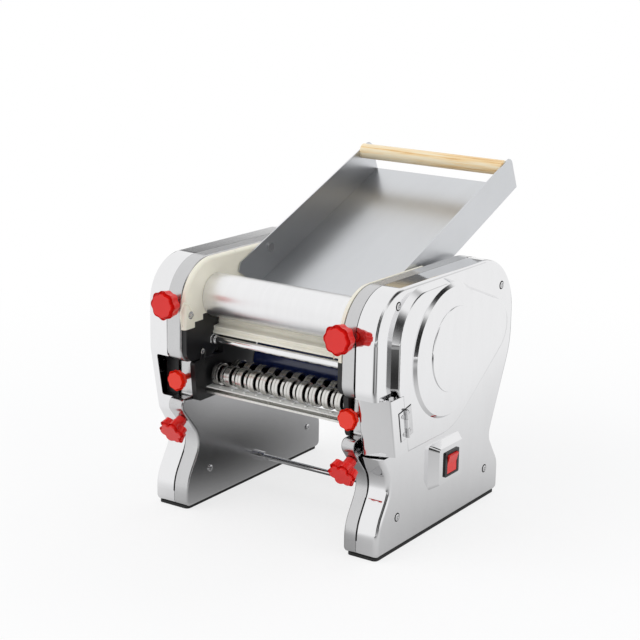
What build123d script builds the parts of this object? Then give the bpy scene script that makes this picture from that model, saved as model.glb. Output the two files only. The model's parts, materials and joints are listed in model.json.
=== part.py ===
from build123d import *
import os
from math import acos, atan2, cos, degrees, floor, hypot, pi, radians, sin, tan

os.makedirs("parts", exist_ok=True)

# Electric pasta maker: two housings of drawn steel carry a pair of dough rollers, a
# cutter cassette, a motor and a tilting dough tray.
# X runs along the rollers with 0 midway between the housings, Y runs from the front
# to the back, Z is up and 0 on the table. Everything is in millimetres.
# save_pieces() moves the finished machine so that the origin is bottom centre.

# ---------------------------------------------------------------- housings
SKIN = 1.5  # steel sheet of the housings, the door and the tray
SHELL_DEPTH = 19.3  # depth of the right inner shell
LEFT_SHELL_DEPTH = 23.0  # depth of the left inner shell
LEFT_DEPTH = 34.0  # depth of the left cover
RIGHT_DEPTH = 31.7  # depth of the right cover without its raised pad
SEAM = 0.5  # shadow gap between an inner shell and its cover
SHELL_EDGE = 3.5  # rounding of the inner shells' edges
COVER_EDGE = 6.5  # rounding of the covers' edges
FOOT = 4.0  # height of the rubber strips under the housings

HOUSE_TOP = 351.5  # top front edge line of a housing
TOP_FALL = 5.5  # the top line falls by this much towards the back
FRONT = -113.0  # front of the upper lobe
REAR = 244.5  # back of the upper lobe
TOE = -102.0  # front of the foot
HEEL = 219.5  # back of the foot
WAIST = (-69.6, 94.6)  # corner of the front waist before its rounding
WAIST_R = 34.0
KNEE_Z = 40.7
KNEE_R = 62.0
WAIST_REAR = 190.5
NOTCH_Y = -87.0  # back wall of the notch for the cutter cassette
CHIN_Z = 211.0  # underside of the upper lobe at the notch
NOSE_TOP = 161.0  # top of the leg's nose under the notch
NOSE = (-112.5, 146.8)  # lower corner of the nose
COVER_NOSE = (-96.5, 137.5)  # the same on the covers, which have no notch
COVER_CHIN = 226.0

# ---------------------------------------------------------------- right cover's relief
PAD_RISE = 10.5  # drop-shaped pad over the gears
BOSS_RISE = 4.0  # round boss on the pad
BOSS_R = 90.0
DISC_RISE = 1.2  # flat disc on the boss
DISC_R = 57.0
SWITCH_RISE = 11.5  # pyramid that carries the switch

# ---------------------------------------------------------------- rollers and cutters
ROLLER_LENGTH = 240.0
ROLLER_R = 29.75
ROLLER_SPACING = 60.0  # between the dough rollers' axes, closed
ROLLER_SLOPE = 25.0  # degrees that the rear roller lies below the front one
FRONT_ROLLER = (-47.0, 297.0)  # axis, as (y, z)
GAP_TRAVEL = 3.0  # the front roller opens by this much
JOURNAL_R = 10.0
GEAR_SEAT_R = 8.0
RUN = 0.05  # radial clearance of running fits
END_PLAY = 0.5  # from a roller's end to its guard
GUARD = 7.0  # thickness of the roller guards

CUTTER_AXIS = (-50.0, 187.0)  # front cutter, as (y, z)
CUTTER_SPACING = 28.0
CUTTER_R = 15.0
CUTTER_ROOT_R = 8.0
CUTTER_SHAFT_R = 5.0
CUTTER_PITCH = 20.0
RING = 9.4  # width of a ring of the front cutter
RING_PLAY = 0.3  # side clearance between meshing rings
CUTTER_PLAY = 1.5  # from a cutter's end to its end plate
PLATE = 7.5  # thickness of the cassette's end plates
PLATE_PLAY = 0.5  # from an end plate to its housing
COMB_PLAY = 1.0  # from the cutters down to the combs

# ---------------------------------------------------------------- gears
MODULE = 2.0
PRESSURE = radians(20)
BACKLASH = 0.7  # each tooth is thinner than half a pitch by this much
ADDENDUM = 0.9  # in modules
DEDENDUM = 1.2
ROLLER_TEETH = 30
IDLER_TEETH = 24
CUTTER_TEETH = 14
DRIVE_TEETH = 38
PINION_TEETH = 14
WHEEL_TEETH = 48
MOTOR_TEETH = 12
GEAR_WIDTH = 10.0
GEAR_PLAY = 2.0  # from a housing's bearing frame to the first gear
LAYSHAFT_SLOPE = -23.0  # degrees from the rear roller to the layshaft
MOTOR_SLOPE = -110.5  # degrees from the layshaft to the motor
MOTOR_R = 36.0
MOTOR_ROOM = 32.5  # from the left housing to the motor
MOTOR_WALL = 3.0

# ---------------------------------------------------------------- tray
TRAY_SLOPE = 21.7  # degrees
TRAY_FLOOR = (65.0, 299.0)  # a point of the floor, as (y, z)
TRAY_PLAY = 1.0  # from the tray to a roller guard
TRAY_WALL = 52.0
TRAY_FRONT = -29.0  # floor's ends, measured along the slope from TRAY_FLOOR
TRAY_END = 309.0
TRAY_PIVOT = (23.0, 35.7)  # along and above the floor
HANDLE_AT = (283.0, 46.0)
HANDLE_R = 11.0
TRAY_REST = 80.0  # where the upper tie rod carries the floor

# ---------------------------------------------------------------- knobs
TOP_KNOB_FACE = -142.8
TOP_KNOB_R = 20.0
TOP_KNOB_DEPTH = 17.0
SCREW_R = 5.0
MID_KNOB_FACE = -115.9
MID_KNOB_R = 14.8
MID_KNOB_DEPTH = 10.5
MID_KNOB_Z = 187.8
STUD_R = 4.0
LOW_KNOB_STANDOFF = 16.5  # from the leg to the star knob's back
LOW_KNOB_DEPTH = 14.0
LOW_KNOB_R = 20.5
LOW_KNOB_TILT = 30.0  # degrees that the lower knobs look down
LOW_KNOB_AT = 0.3  # share of the leg's slope from the nose to the waist

# ---------------------------------------------------------------- derived places
HALF = ROLLER_LENGTH / 2 + END_PLAY + GUARD  # half the clear width between the housings
SHELL_X = HALF + SHELL_DEPTH  # parting plane of the right housing
KNOB_X = HALF + SHELL_DEPTH / 2
LEFT_SHELL_X = HALF + LEFT_SHELL_DEPTH
LEFT_X = LEFT_SHELL_X + LEFT_DEPTH
RIGHT_X = SHELL_X + RIGHT_DEPTH
PAD_X = RIGHT_X + PAD_RISE
BOSS_X = PAD_X + BOSS_RISE
GUARD_X = HALF - GUARD
TRAY_WIDTH = 2 * (GUARD_X - TRAY_PLAY)
PLATE_X = HALF - PLATE_PLAY - PLATE
CUTTER_LENGTH = 2 * (PLATE_X - CUTTER_PLAY)
COMB_BASE = CUTTER_AXIS[1] - CUTTER_R - COMB_PLAY
MOTOR_END = MOTOR_ROOM - HALF  # left end of the motor
FRAME_X = SHELL_X - 1.8  # outer face of the bearing frames
GEAR_X = FRAME_X + GEAR_PLAY


def polar(start, angle, length):
    """Point at a distance and an angle, in degrees, from a point (y, z)."""
    return (start[0] + length * cos(radians(angle)), start[1] + length * sin(radians(angle)))


REAR_ROLLER = polar(FRONT_ROLLER, -ROLLER_SLOPE, ROLLER_SPACING)
REAR_CUTTER = (CUTTER_AXIS[0] + CUTTER_SPACING, CUTTER_AXIS[1])
LAYSHAFT = polar(REAR_ROLLER, LAYSHAFT_SLOPE, MODULE * (DRIVE_TEETH + PINION_TEETH) / 2)
MOTOR = polar(LAYSHAFT, MOTOR_SLOPE, MODULE * (WHEEL_TEETH + MOTOR_TEETH) / 2)


def triangle_point(first, second, first_length, second_length):
    """Point at given distances from two points, on the rear side of the line between them."""
    span = hypot(second[0] - first[0], second[1] - first[1])
    along = (first_length**2 - second_length**2 + span**2) / (2 * span)
    line = degrees(atan2(second[1] - first[1], second[0] - first[0]))
    return polar(first, line + degrees(acos(along / first_length)), first_length)


IDLER = triangle_point(
    REAR_ROLLER,
    REAR_CUTTER,
    MODULE * (ROLLER_TEETH + IDLER_TEETH) / 2,
    MODULE * (IDLER_TEETH + CUTTER_TEETH) / 2,
)

# ---------------------------------------------------------------- helpers
PIECES = []


def keep(piece, label):
    """Names a finished piece and puts it on the list to be written."""
    piece.label = label
    PIECES.append(piece)


def rounded(corners):
    """Face inside straight lines with rounded corners, each given as (u, v, radius)."""
    with BuildSketch() as face:
        with BuildLine():
            FilletPolyline(*[(u, v) for u, v, r in corners], radius=[r for u, v, r in corners], close=True)
        make_face()
    return face.sketch


def polygon(*points):
    """Face inside straight lines."""
    with BuildSketch() as face:
        with BuildLine():
            Polyline(*points, close=True)
        make_face()
    return face.sketch


def across(x, centre=(0, 0)):
    """Plane square to X whose own axes are Y and Z, with its origin at (x, y, z)."""
    return Plane(origin=(x, centre[0], centre[1]), x_dir=(0, 1, 0), z_dir=(1, 0, 0))


def facing_front(x, y, z, tilt=0.0):
    """Plane that looks out of the front, turned down by tilt degrees."""
    out = (0, -cos(radians(tilt)), -sin(radians(tilt)))
    return Plane(origin=(x, y, z), x_dir=(1, 0, 0), z_dir=out)


def bar(face, x_from, x_to):
    """Solid with the same (y, z) section all along from one x to another."""
    with BuildPart() as solid:
        with BuildSketch(across(x_from)):
            add(face)
        extrude(amount=x_to - x_from)
    return solid.part


def turned(centre, steps):
    """Turned shaft along X at (y, z); each step is (x from, x to, radius)."""
    with BuildPart() as solid:
        for x_from, x_to, radius in steps:
            with BuildSketch(across(x_from, centre)):
                Circle(radius)
            extrude(amount=x_to - x_from)
    return solid.part


def blank(face, x_from, x_to, edge, inset=0.0, rounded_end=True):
    """Block of a housing outline, drawn in by inset, with one rim edge rounded."""
    with BuildPart() as block:
        with BuildSketch(across(x_from)):
            add(face)
            if inset:
                offset(amount=-inset)
        extrude(amount=x_to - x_from)
        outward = (x_to > x_from) == rounded_end
        rim = block.faces().sort_by(Axis.X)[-1 if outward else 0].edges()
        fillet(rim, edge)
    return block.part


def hollow_for(face, x_from, x_to, edge=0.0):
    """Plain block that hollows out a housing, one sheet's thickness inside its outline."""
    with BuildPart() as block:
        with BuildSketch(across(x_from)):
            add(face)
            offset(amount=-SKIN)
        extrude(amount=x_to - x_from)
        if edge:
            outward = x_to > x_from
            chamfer(block.faces().sort_by(Axis.X)[-1 if outward else 0].edges(), edge)
    return block.part


# ---------------------------------------------------------------- housing outlines
LEG = [
    (REAR, HOUSE_TOP - TOP_FALL, 85),
    (REAR, 214, 110),
    (WAIST_REAR, WAIST[1] - 3, 20),
    (HEEL, 48, 30),
    (HEEL, FOOT, 8),
    (TOE, FOOT, 8),
    (TOE, KNEE_Z, KNEE_R),
    (*WAIST, WAIST_R),
]
shell_face = rounded(
    [(FRONT, HOUSE_TOP, 62)]
    + LEG
    + [
        (*NOSE, 12),
        (NOSE[0], NOSE_TOP, 9),
        (NOTCH_Y, NOSE_TOP, 3),
        (NOTCH_Y, CHIN_Z, 3),
        (FRONT - 2, CHIN_Z, 22),
    ]
)
cover_face = rounded([(FRONT, HOUSE_TOP, 62)] + LEG + [(*COVER_NOSE, 15), (FRONT, COVER_CHIN, 40)])

# The lower knobs clamp on the slope between the nose and the waist.
slope_y = WAIST[0] - NOSE[0]
slope_z = WAIST[1] - NOSE[1]
LOW_KNOB_Y = NOSE[0] + LOW_KNOB_AT * slope_y
LOW_KNOB_Z = NOSE[1] + LOW_KNOB_AT * slope_z


def tray_point(along, above):
    """(y, z) of a point given along and above the tray's floor."""
    base = polar(TRAY_FLOOR, TRAY_SLOPE, along)
    return polar(base, TRAY_SLOPE + 90, above)


PIVOT = tray_point(*TRAY_PIVOT)
UPPER_ROD_R = 5.0
UPPER_ROD = tray_point(TRAY_REST, -UPPER_ROD_R - 0.3)
LOWER_ROD = (65.0, 32.0)
LOWER_ROD_R = 4.0

# ---------------------------------------------------------------- inner shells
BOSS_DEPTH = 14.0
BOSS_WALL = 4.0

for side, name, parting in ((-1, "left", LEFT_SHELL_X), (1, "right", SHELL_X)):
    outer = blank(shell_face, side * HALF, side * parting, SHELL_EDGE, 0, False)
    hollow = hollow_for(shell_face, side * (parting + 1), side * (HALF + SKIN))
    with BuildPart() as inner_shell:
        add(outer)
        add(hollow, mode=Mode.SUBTRACT)
        # welded nuts for the lower and middle knobs
        with BuildSketch(facing_front(side * KNOB_X, NOTCH_Y + SKIN / 2, MID_KNOB_Z)):
            Circle(STUD_R + BOSS_WALL)
        extrude(amount=-BOSS_DEPTH)
        with BuildSketch(facing_front(side * KNOB_X, LOW_KNOB_Y, LOW_KNOB_Z, LOW_KNOB_TILT)):
            Circle(STUD_R + BOSS_WALL)
        extrude(amount=-BOSS_DEPTH - SKIN / 2)
        with BuildSketch(facing_front(side * KNOB_X, LOW_KNOB_Y, LOW_KNOB_Z, LOW_KNOB_TILT)):
            Circle(STUD_R + RUN)
        extrude(amount=BOSS_DEPTH, both=True, mode=Mode.SUBTRACT)
        with BuildSketch(facing_front(side * KNOB_X, NOTCH_Y, MID_KNOB_Z)):
            Circle(STUD_R + RUN)
        extrude(amount=BOSS_DEPTH, both=True, mode=Mode.SUBTRACT)
        # way in for the adjusting screw, and the roller journals
        with BuildSketch(facing_front(side * KNOB_X, FRONT, FRONT_ROLLER[1])):
            Circle(SCREW_R + 1)
        extrude(amount=5, both=True, mode=Mode.SUBTRACT)
        with BuildSketch(across(side * HALF, FRONT_ROLLER)):
            Circle(JOURNAL_R + GAP_TRAVEL + 2)
        extrude(amount=SKIN + 1, both=True, mode=Mode.SUBTRACT)
        with BuildSketch(across(side * HALF, REAR_ROLLER)):
            Circle(JOURNAL_R + 2)
        extrude(amount=SKIN + 1, both=True, mode=Mode.SUBTRACT)
        # cutter shafts on the left, motor shaft on the right
        shaft_holes = (CUTTER_AXIS, REAR_CUTTER) if side < 0 else (MOTOR,)
        for place in shaft_holes:
            with BuildSketch(across(side * HALF, place)):
                Circle(CUTTER_SHAFT_R + 2)
            extrude(amount=SKIN + 1, both=True, mode=Mode.SUBTRACT)
    keep(inner_shell.part, f"inner_shell_{name}")

# ---------------------------------------------------------------- left cover
WINDOW_LOW, WINDOW_HIGH = 159.3, 219.0
WINDOW_OUT = LEFT_X - 13.4  # the window stops short of the cover's outer face
WINDOW_BACK = -89.0
LINER_TOP = 16.0  # depth of the liner's upper edge
LINER_FOOT = 9.0

outer = blank(cover_face, -LEFT_SHELL_X - SEAM, -LEFT_X, COVER_EDGE)
hollow = hollow_for(cover_face, -LEFT_SHELL_X + 1, -LEFT_X + SKIN, SKIN)
window_width = WINDOW_OUT - LEFT_SHELL_X
window_mid = LEFT_SHELL_X + window_width / 2
with BuildPart() as outer_cover_left:
    add(outer)
    add(hollow, mode=Mode.SUBTRACT)
    with BuildSketch(facing_front(-window_mid + 5, WINDOW_BACK, (WINDOW_LOW + WINDOW_HIGH) / 2)):
        RectangleRounded(window_width + 10, WINDOW_HIGH - WINDOW_LOW, 3)
    extrude(amount=60, mode=Mode.SUBTRACT)
keep(outer_cover_left.part, "outer_cover_left")

# black liner that closes the window behind its edges
with BuildPart() as window_liner:
    with BuildSketch(facing_front(-window_mid - 0.5, WINDOW_BACK, (WINDOW_LOW + WINDOW_HIGH) / 2)):
        Rectangle(window_width, WINDOW_HIGH - WINDOW_LOW + 4)
    extrude(amount=SKIN)
    for height, depth in ((WINDOW_LOW - 1, LINER_FOOT), (WINDOW_HIGH + 1, LINER_TOP)):
        with BuildSketch(facing_front(-window_mid - 0.5, WINDOW_BACK, height)):
            Rectangle(window_width, SKIN)
        extrude(amount=depth)
keep(window_liner.part, "window_liner")

# ---------------------------------------------------------------- right cover
PAD_FRONT = -74.0
PAD_BOTTOM = 138.0
PAD_SLOPE = 25.0  # degrees that the pad's wall leans
DOOR_TOP, DOOR_BOTTOM = 216.0, 138.5
DOOR_FRONT = -110.0  # y of the door's front at its top, beside the inner shell
DOOR_CUT = 15.5  # the door's front is cut back by this much at its outer edge
DOOR_REAR_TOP, DOOR_REAR_BOTTOM = -64.0, -49.0
DOOR_FLANGE = 6.0  # depth of the folded edges round the door's front
DOOR_PLAY = 0.4
DOOR_DROP = 2.0  # the leaning hinge lets the door's floor sweep a little lower
DISC_AT = (56.0, 251.0)
BOSS_AT = (47.0, 250.0)
SWITCH_AT = (62.0, 92.0)
PAD = [
    (PAD_FRONT, 341, 62),
    (48, 341, 60),
    (253, 263.5, 38.5),
    (67, PAD_BOTTOM, 90),
    (DOOR_REAR_BOTTOM + 2, PAD_BOTTOM, 3),
    (PAD_FRONT, DOOR_TOP + 10, 10),
]
door_lean = (DOOR_REAR_BOTTOM - DOOR_REAR_TOP) / (DOOR_TOP - DOOR_BOTTOM)
lean = degrees(atan2(door_lean, 1))


def door_edge(z, y_top):
    """y of an edge that leans as the hinge does, at a height z."""
    return y_top + door_lean * (DOOR_TOP - z)


def bay_shape(front, rear, low, high):
    """Side view of the door or its bay; front and rear are y at the door's top.

    low and high move the floor and the top.
    """
    top, floor_z = DOOR_TOP + high, DOOR_BOTTOM + low
    return polygon(
        (door_edge(top, front), top),
        (door_edge(floor_z, front), floor_z),
        (door_edge(floor_z, rear), floor_z),
        (door_edge(top, rear), top),
    )


outer = blank(cover_face, SHELL_X + SEAM, RIGHT_X, COVER_EDGE)
hollow = hollow_for(cover_face, SHELL_X - 1, RIGHT_X - SKIN, SKIN)


def pad_block(x_from, x_to, inset):
    """Pad with a leaning wall, or with an inset the space under its sheet."""
    spread = (PAD_X - RIGHT_X) * tan(radians(PAD_SLOPE))
    with BuildPart() as block:
        with BuildSketch(across(x_to)):
            add(rounded(PAD))
            offset(amount=-inset)
        with BuildSketch(across(x_from)):
            add(rounded(PAD))
            offset(amount=spread - inset)
        loft()
    return block.part


with BuildPart() as pad_out:
    add(pad_block(RIGHT_X, PAD_X, 0))
    fillet(pad_out.faces().sort_by(Axis.X)[-1].edges(), 3)
pad_in = pad_block(RIGHT_X - SKIN, PAD_X - SKIN, SKIN)


def frustum(centre, x_from, x_to, foot_radius, top_radius):
    """Round boss whose wall leans in towards its top."""
    with BuildPart() as cone:
        with BuildSketch(across(x_from, centre)):
            Circle(foot_radius)
        with BuildSketch(across(x_to, centre)):
            Circle(top_radius)
        loft()
    return cone.part


def pyramid(x_from, x_to, grow):
    """Four-sided switch boss whose face is smaller than its foot."""
    with BuildPart() as block:
        with BuildSketch(across(x_from, SWITCH_AT)):
            RectangleRounded(84 + grow, 64 + grow, 6)
        with BuildSketch(across(x_to, SWITCH_AT)):
            RectangleRounded(62 + grow, 50 + grow, 4)
        loft()
    return block.part


SWITCH_BODY = (30.0, 28.0)  # size of the switch behind its bezel, along Y and Z
# Lips that close the cover's sheet above and below the door's bay.
bay_front = FRONT - 20
bay_rear = DOOR_REAR_TOP + DOOR_PLAY
with BuildPart() as bay_lips:
    add(outer)
    add(pad_out.part)
    with BuildSketch(across(SHELL_X)):
        add(bay_shape(bay_front, bay_rear + SKIN, -DOOR_DROP - SKIN, DOOR_PLAY + SKIN))
    extrude(amount=RIGHT_DEPTH + PAD_RISE + 10, mode=Mode.INTERSECT)

with BuildPart() as outer_cover_right:
    add(outer)
    add(pad_out.part)
    add(frustum(BOSS_AT, PAD_X - SKIN, BOSS_X, BOSS_R + 1, BOSS_R - 4))
    add(frustum(DISC_AT, BOSS_X - SKIN, BOSS_X + DISC_RISE, DISC_R + 1, DISC_R))
    add(pyramid(RIGHT_X - SKIN, RIGHT_X + SWITCH_RISE, 0))
    add(hollow, mode=Mode.SUBTRACT)
    add(pad_in, mode=Mode.SUBTRACT)
    add(frustum(BOSS_AT, PAD_X - 2 * SKIN, BOSS_X - SKIN, BOSS_R - 1, BOSS_R - 6), mode=Mode.SUBTRACT)
    add(pyramid(RIGHT_X - 2 * SKIN, RIGHT_X + SWITCH_RISE - SKIN, -3), mode=Mode.SUBTRACT)
    with BuildSketch(across(RIGHT_X, SWITCH_AT)):
        Rectangle(SWITCH_BODY[0] + 0.4, SWITCH_BODY[1] + 0.4)
    extrude(amount=SWITCH_RISE + 5, mode=Mode.SUBTRACT)
    add(bay_lips.part)
    with BuildSketch(across(SHELL_X)):
        add(bay_shape(bay_front, bay_rear, -DOOR_DROP, DOOR_PLAY))
    extrude(amount=RIGHT_DEPTH + PAD_RISE + 10, mode=Mode.SUBTRACT)
    # cord bush hole low in the rear
    with BuildSketch(facing_front(SHELL_X + RIGHT_DEPTH / 2, HEEL, 30)):
        Circle(6.2)
    extrude(amount=5, both=True, mode=Mode.SUBTRACT)
keep(outer_cover_right.part, "outer_cover_right")

# ---------------------------------------------------------------- gear door
HINGE_LEAF = 14.0
HINGE_HEIGHT = 39.0
HINGE_PLATE = 1.0
BARREL_R = 2.2
PIN_R = 1.2
HINGE_Z = 178.5
DOOR_INNER_X = SHELL_X + SEAM
hinge_y = door_edge(HINGE_Z, bay_rear - DOOR_PLAY / 2)
hinge_plane = Plane(
    origin=(PAD_X, hinge_y, HINGE_Z),
    x_dir=(0, cos(radians(lean)), sin(radians(lean))),
    z_dir=(1, 0, 0),
)
barrel_plane = Plane(
    origin=(PAD_X + BARREL_R, hinge_y, HINGE_Z),
    x_dir=(1, 0, 0),
    z_dir=(0, -sin(radians(lean)), cos(radians(lean))),
)
THIRD = HINGE_HEIGHT / 3


def door_plan(shift):
    """Plane square to the hinge, with its origin on the door's front beside the shell."""
    return Plane(
        origin=(DOOR_INNER_X, DOOR_FRONT + shift, DOOR_TOP),
        x_dir=(1, 0, 0),
        z_dir=(0, -sin(radians(lean)), cos(radians(lean))),
    )


def door_block(inset, rear_reach):
    """Door's outer form, or with an inset the space inside its sheet."""
    width = PAD_X - DOOR_INNER_X
    front_off = [(-10, -20), (-10, 0), (0, 0), (width, DOOR_CUT), (width + 10, DOOR_CUT), (width + 10, -20)]
    with BuildPart() as block:
        with BuildSketch(across(DOOR_INNER_X + inset)):
            add(bay_shape(DOOR_FRONT + inset, DOOR_REAR_TOP + rear_reach, inset, -inset))
        extrude(amount=width - 2 * inset)
        with BuildSketch(door_plan(inset)):
            add(polygon(*front_off))
        extrude(amount=200, both=True, mode=Mode.SUBTRACT)
    return block.part


with BuildPart() as gear_door:
    add(door_block(0, 0))
    for across_x, radius in ((-1, 3), (0, 4)):
        corner = gear_door.edges().filter_by(Plane.YZ).group_by(Axis.X)[across_x].sort_by(Axis.Y)[0]
        fillet(corner, radius)
    add(door_block(SKIN, 2), mode=Mode.SUBTRACT)
    # behind its folded edges the door is only its outer wall
    inner_width = PAD_X - SKIN - DOOR_INNER_X
    with BuildSketch(door_plan(DOOR_FLANGE)):
        add(polygon((-1, 0), (-1, 100), (inner_width, 100), (inner_width, DOOR_CUT)))
    extrude(amount=200, both=True, mode=Mode.SUBTRACT)
    # hinge leaf and the middle knuckle
    with BuildSketch(hinge_plane):
        with Locations((-HINGE_LEAF / 2 - 0.3, 0)):
            Rectangle(HINGE_LEAF, HINGE_HEIGHT)
    extrude(amount=HINGE_PLATE)
    with BuildSketch(barrel_plane.offset(-THIRD / 2 + 0.2)):
        Circle(BARREL_R)
    extrude(amount=THIRD - 0.4)
    with BuildSketch(barrel_plane.offset(-THIRD)):
        Circle(PIN_R + RUN)
    extrude(amount=2 * THIRD, mode=Mode.SUBTRACT)
    for knuckle in (-THIRD * 1.5 - 0.2, THIRD / 2 - 0.2):
        with BuildSketch(barrel_plane.offset(knuckle)):
            Circle(BARREL_R + 0.3)
        extrude(amount=THIRD + 0.4, mode=Mode.SUBTRACT)
keep(gear_door.part, "gear_door")

with BuildPart() as hinge_leaf:
    with BuildSketch(hinge_plane):
        with Locations((HINGE_LEAF / 2 + 0.3, 0)):
            Rectangle(HINGE_LEAF, HINGE_HEIGHT)
    extrude(amount=HINGE_PLATE)
    with BuildSketch(barrel_plane.offset(-THIRD / 2 - 0.2)):
        Circle(BARREL_R + 0.3)
    extrude(amount=THIRD + 0.4, mode=Mode.SUBTRACT)
    for knuckle in (-THIRD * 1.5, THIRD / 2):
        with BuildSketch(barrel_plane.offset(knuckle)):
            Circle(BARREL_R)
        extrude(amount=THIRD)
    # the pin is riveted into the outer knuckles
    with BuildSketch(barrel_plane.offset(-THIRD * 1.5)):
        Circle(PIN_R)
    extrude(amount=THIRD * 3)
keep(hinge_leaf.part, "hinge_leaf")

# ---------------------------------------------------------------- switch
SWITCH_FACE = RIGHT_X + SWITCH_RISE
BEZEL = (36.0, 34.0)
ROCKER = (24.0, 27.0)  # along Y and Z
ROCKER_TILT = 8.0  # the top stands out at rest
with BuildPart() as switch_bezel:
    with BuildSketch(across(SWITCH_FACE, SWITCH_AT)):
        RectangleRounded(*BEZEL, 2)
    extrude(amount=2)
    with BuildSketch(across(SWITCH_FACE - 18, SWITCH_AT)):
        Rectangle(*SWITCH_BODY)
    extrude(amount=18)
    with BuildSketch(across(SWITCH_FACE - 8, SWITCH_AT)):
        Rectangle(ROCKER[0] + 1, SWITCH_BODY[1] - 0.1)
    extrude(amount=12, mode=Mode.SUBTRACT)
keep(switch_bezel.part, "switch_bezel")

# The rocker's face is two flats that meet in a shallow valley; it is drawn already tipped.
rocker_plane = Plane(
    origin=(SWITCH_FACE - 2, SWITCH_AT[0] - ROCKER[0] / 2, SWITCH_AT[1]),
    x_dir=(cos(radians(ROCKER_TILT)), 0, -sin(radians(ROCKER_TILT))),
    z_dir=(0, 1, 0),
)
rocker_half = ROCKER[1] / 2
with BuildPart() as rocker:
    with BuildSketch(rocker_plane):
        add(
            polygon(
                (-3.5, -rocker_half + 3),
                (-3.5, rocker_half - 3),
                (2, rocker_half - 0.3),
                (5.5, rocker_half - 0.8),
                (3.6, 0),
                (5.5, -rocker_half + 0.8),
                (2, -rocker_half + 0.3),
            )
        )
    extrude(amount=ROCKER[0])
    with BuildSketch(rocker_plane.offset(-0.4)):
        Circle(1.5)
    extrude(amount=ROCKER[0] + 0.8)
keep(rocker.part, "rocker")

# ---------------------------------------------------------------- bearing frames
FRAME_FRONT, FRAME_REAR = -88.0, 42.0
FRAME_LOW, FRAME_HIGH = 240.0, 330.0
BLOCK = 44.0  # sliding bearing block, along Y and Z
BLOCK_PLAY = 0.3
BUSH_R = 14.0
SLOT_FRONT = FRONT_ROLLER[0] - BLOCK / 2 - GAP_TRAVEL - 2
SLOT_REAR = FRONT_ROLLER[0] + BLOCK / 2 + 1
SCREW_TIP = FRONT_ROLLER[0] - BLOCK / 2 + 5
SOCKET = 9.5  # depth of the screw's socket in the block

for side, name in ((-1, "left"), (1, "right")):
    frame_from, frame_to = side * (HALF + SKIN), side * FRAME_X
    with BuildPart() as bearing_frame:
        with BuildSketch(across(frame_from)):
            add(
                rounded(
                    [
                        (FRAME_FRONT, FRAME_HIGH, 12),
                        (FRAME_REAR, FRAME_HIGH, 20),
                        (FRAME_REAR, FRAME_LOW, 20),
                        (FRAME_FRONT, FRAME_LOW, 12),
                    ]
                )
            )
            with Locations(((SLOT_FRONT + SLOT_REAR) / 2, FRONT_ROLLER[1])):
                Rectangle(SLOT_REAR - SLOT_FRONT, BLOCK + 2 * BLOCK_PLAY, mode=Mode.SUBTRACT)
            with Locations(REAR_ROLLER):
                Circle(BUSH_R, mode=Mode.SUBTRACT)
        extrude(amount=frame_to - frame_from)
        with BuildSketch(facing_front(side * KNOB_X, FRAME_FRONT, FRONT_ROLLER[1])):
            Circle(SCREW_R + RUN)
        extrude(amount=20, both=True, mode=Mode.SUBTRACT)
    keep(bearing_frame.part, f"bearing_frame_{name}")

    with BuildPart() as front_bearing:
        with BuildSketch(across(frame_from + side * 0.5, FRONT_ROLLER)):
            Rectangle(BLOCK, BLOCK)
            Circle(JOURNAL_R + RUN, mode=Mode.SUBTRACT)
        extrude(amount=frame_to - frame_from - side * 0.5)
        with BuildSketch(facing_front(side * KNOB_X, FRONT_ROLLER[0] - BLOCK / 2, FRONT_ROLLER[1])):
            Circle(SCREW_R + 0.4)
        extrude(amount=-SOCKET, mode=Mode.SUBTRACT)
    keep(front_bearing.part, f"front_bearing_{name}")

with BuildPart() as rear_bushes:
    for side in (-1, 1):
        with BuildSketch(across(side * (HALF + SKIN), REAR_ROLLER)):
            Circle(BUSH_R - 0.02)
            Circle(JOURNAL_R + RUN, mode=Mode.SUBTRACT)
        extrude(amount=side * (FRAME_X - HALF - SKIN))
keep(rear_bushes.part, "rear_bushes")

# ---------------------------------------------------------------- rollers
half_roller = ROLLER_LENGTH / 2
left_gear_end = -(GEAR_X + GEAR_WIDTH)
right_gear_end = GEAR_X + GEAR_WIDTH
front_roller = turned(
    FRONT_ROLLER,
    [
        (-half_roller, half_roller, ROLLER_R),
        (-FRAME_X - 0.6, FRAME_X, JOURNAL_R),
        (left_gear_end - 1, 0, GEAR_SEAT_R),
    ],
)
keep(front_roller, "front_roller")
rear_roller = turned(
    REAR_ROLLER,
    [
        (-half_roller, half_roller, ROLLER_R),
        (-FRAME_X - 0.6, FRAME_X + 0.6, JOURNAL_R),
        (left_gear_end - 1, right_gear_end + 1, GEAR_SEAT_R),
    ],
)
keep(rear_roller, "rear_roller")


# ---------------------------------------------------------------- gears
def gear_face(teeth, phase, bore):
    """Spur gear section with its first tooth centred at phase, in radians.

    The flanks are straight lines from root to tip drawn inside the true involute: half a
    tooth's angle is a quarter of the tooth pitch, less the backlash, plus the involute
    of the pressure angle, less the involute at that radius.
    """
    pitch_r = MODULE * teeth / 2
    base_r = pitch_r * cos(PRESSURE)

    def half_angle(radius):
        slope = acos(min(1.0, base_r / radius))
        turn = (tan(PRESSURE) - PRESSURE) - (tan(slope) - slope)
        return pi / (2 * teeth) - BACKLASH / (2 * pitch_r) + turn

    root_r = pitch_r - DEDENDUM * MODULE
    tip_r = pitch_r + ADDENDUM * MODULE
    points = []
    for tooth in range(teeth):
        middle = phase + 2 * pi * tooth / teeth
        for radius, way in ((root_r, -1), (tip_r, -1), (tip_r, 1), (root_r, 1)):
            angle = middle + way * half_angle(radius)
            points.append((radius * cos(angle), radius * sin(angle)))
    with BuildSketch() as section:
        add(polygon(*points))
        Circle(bore, mode=Mode.SUBTRACT)
    return section.sketch


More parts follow.
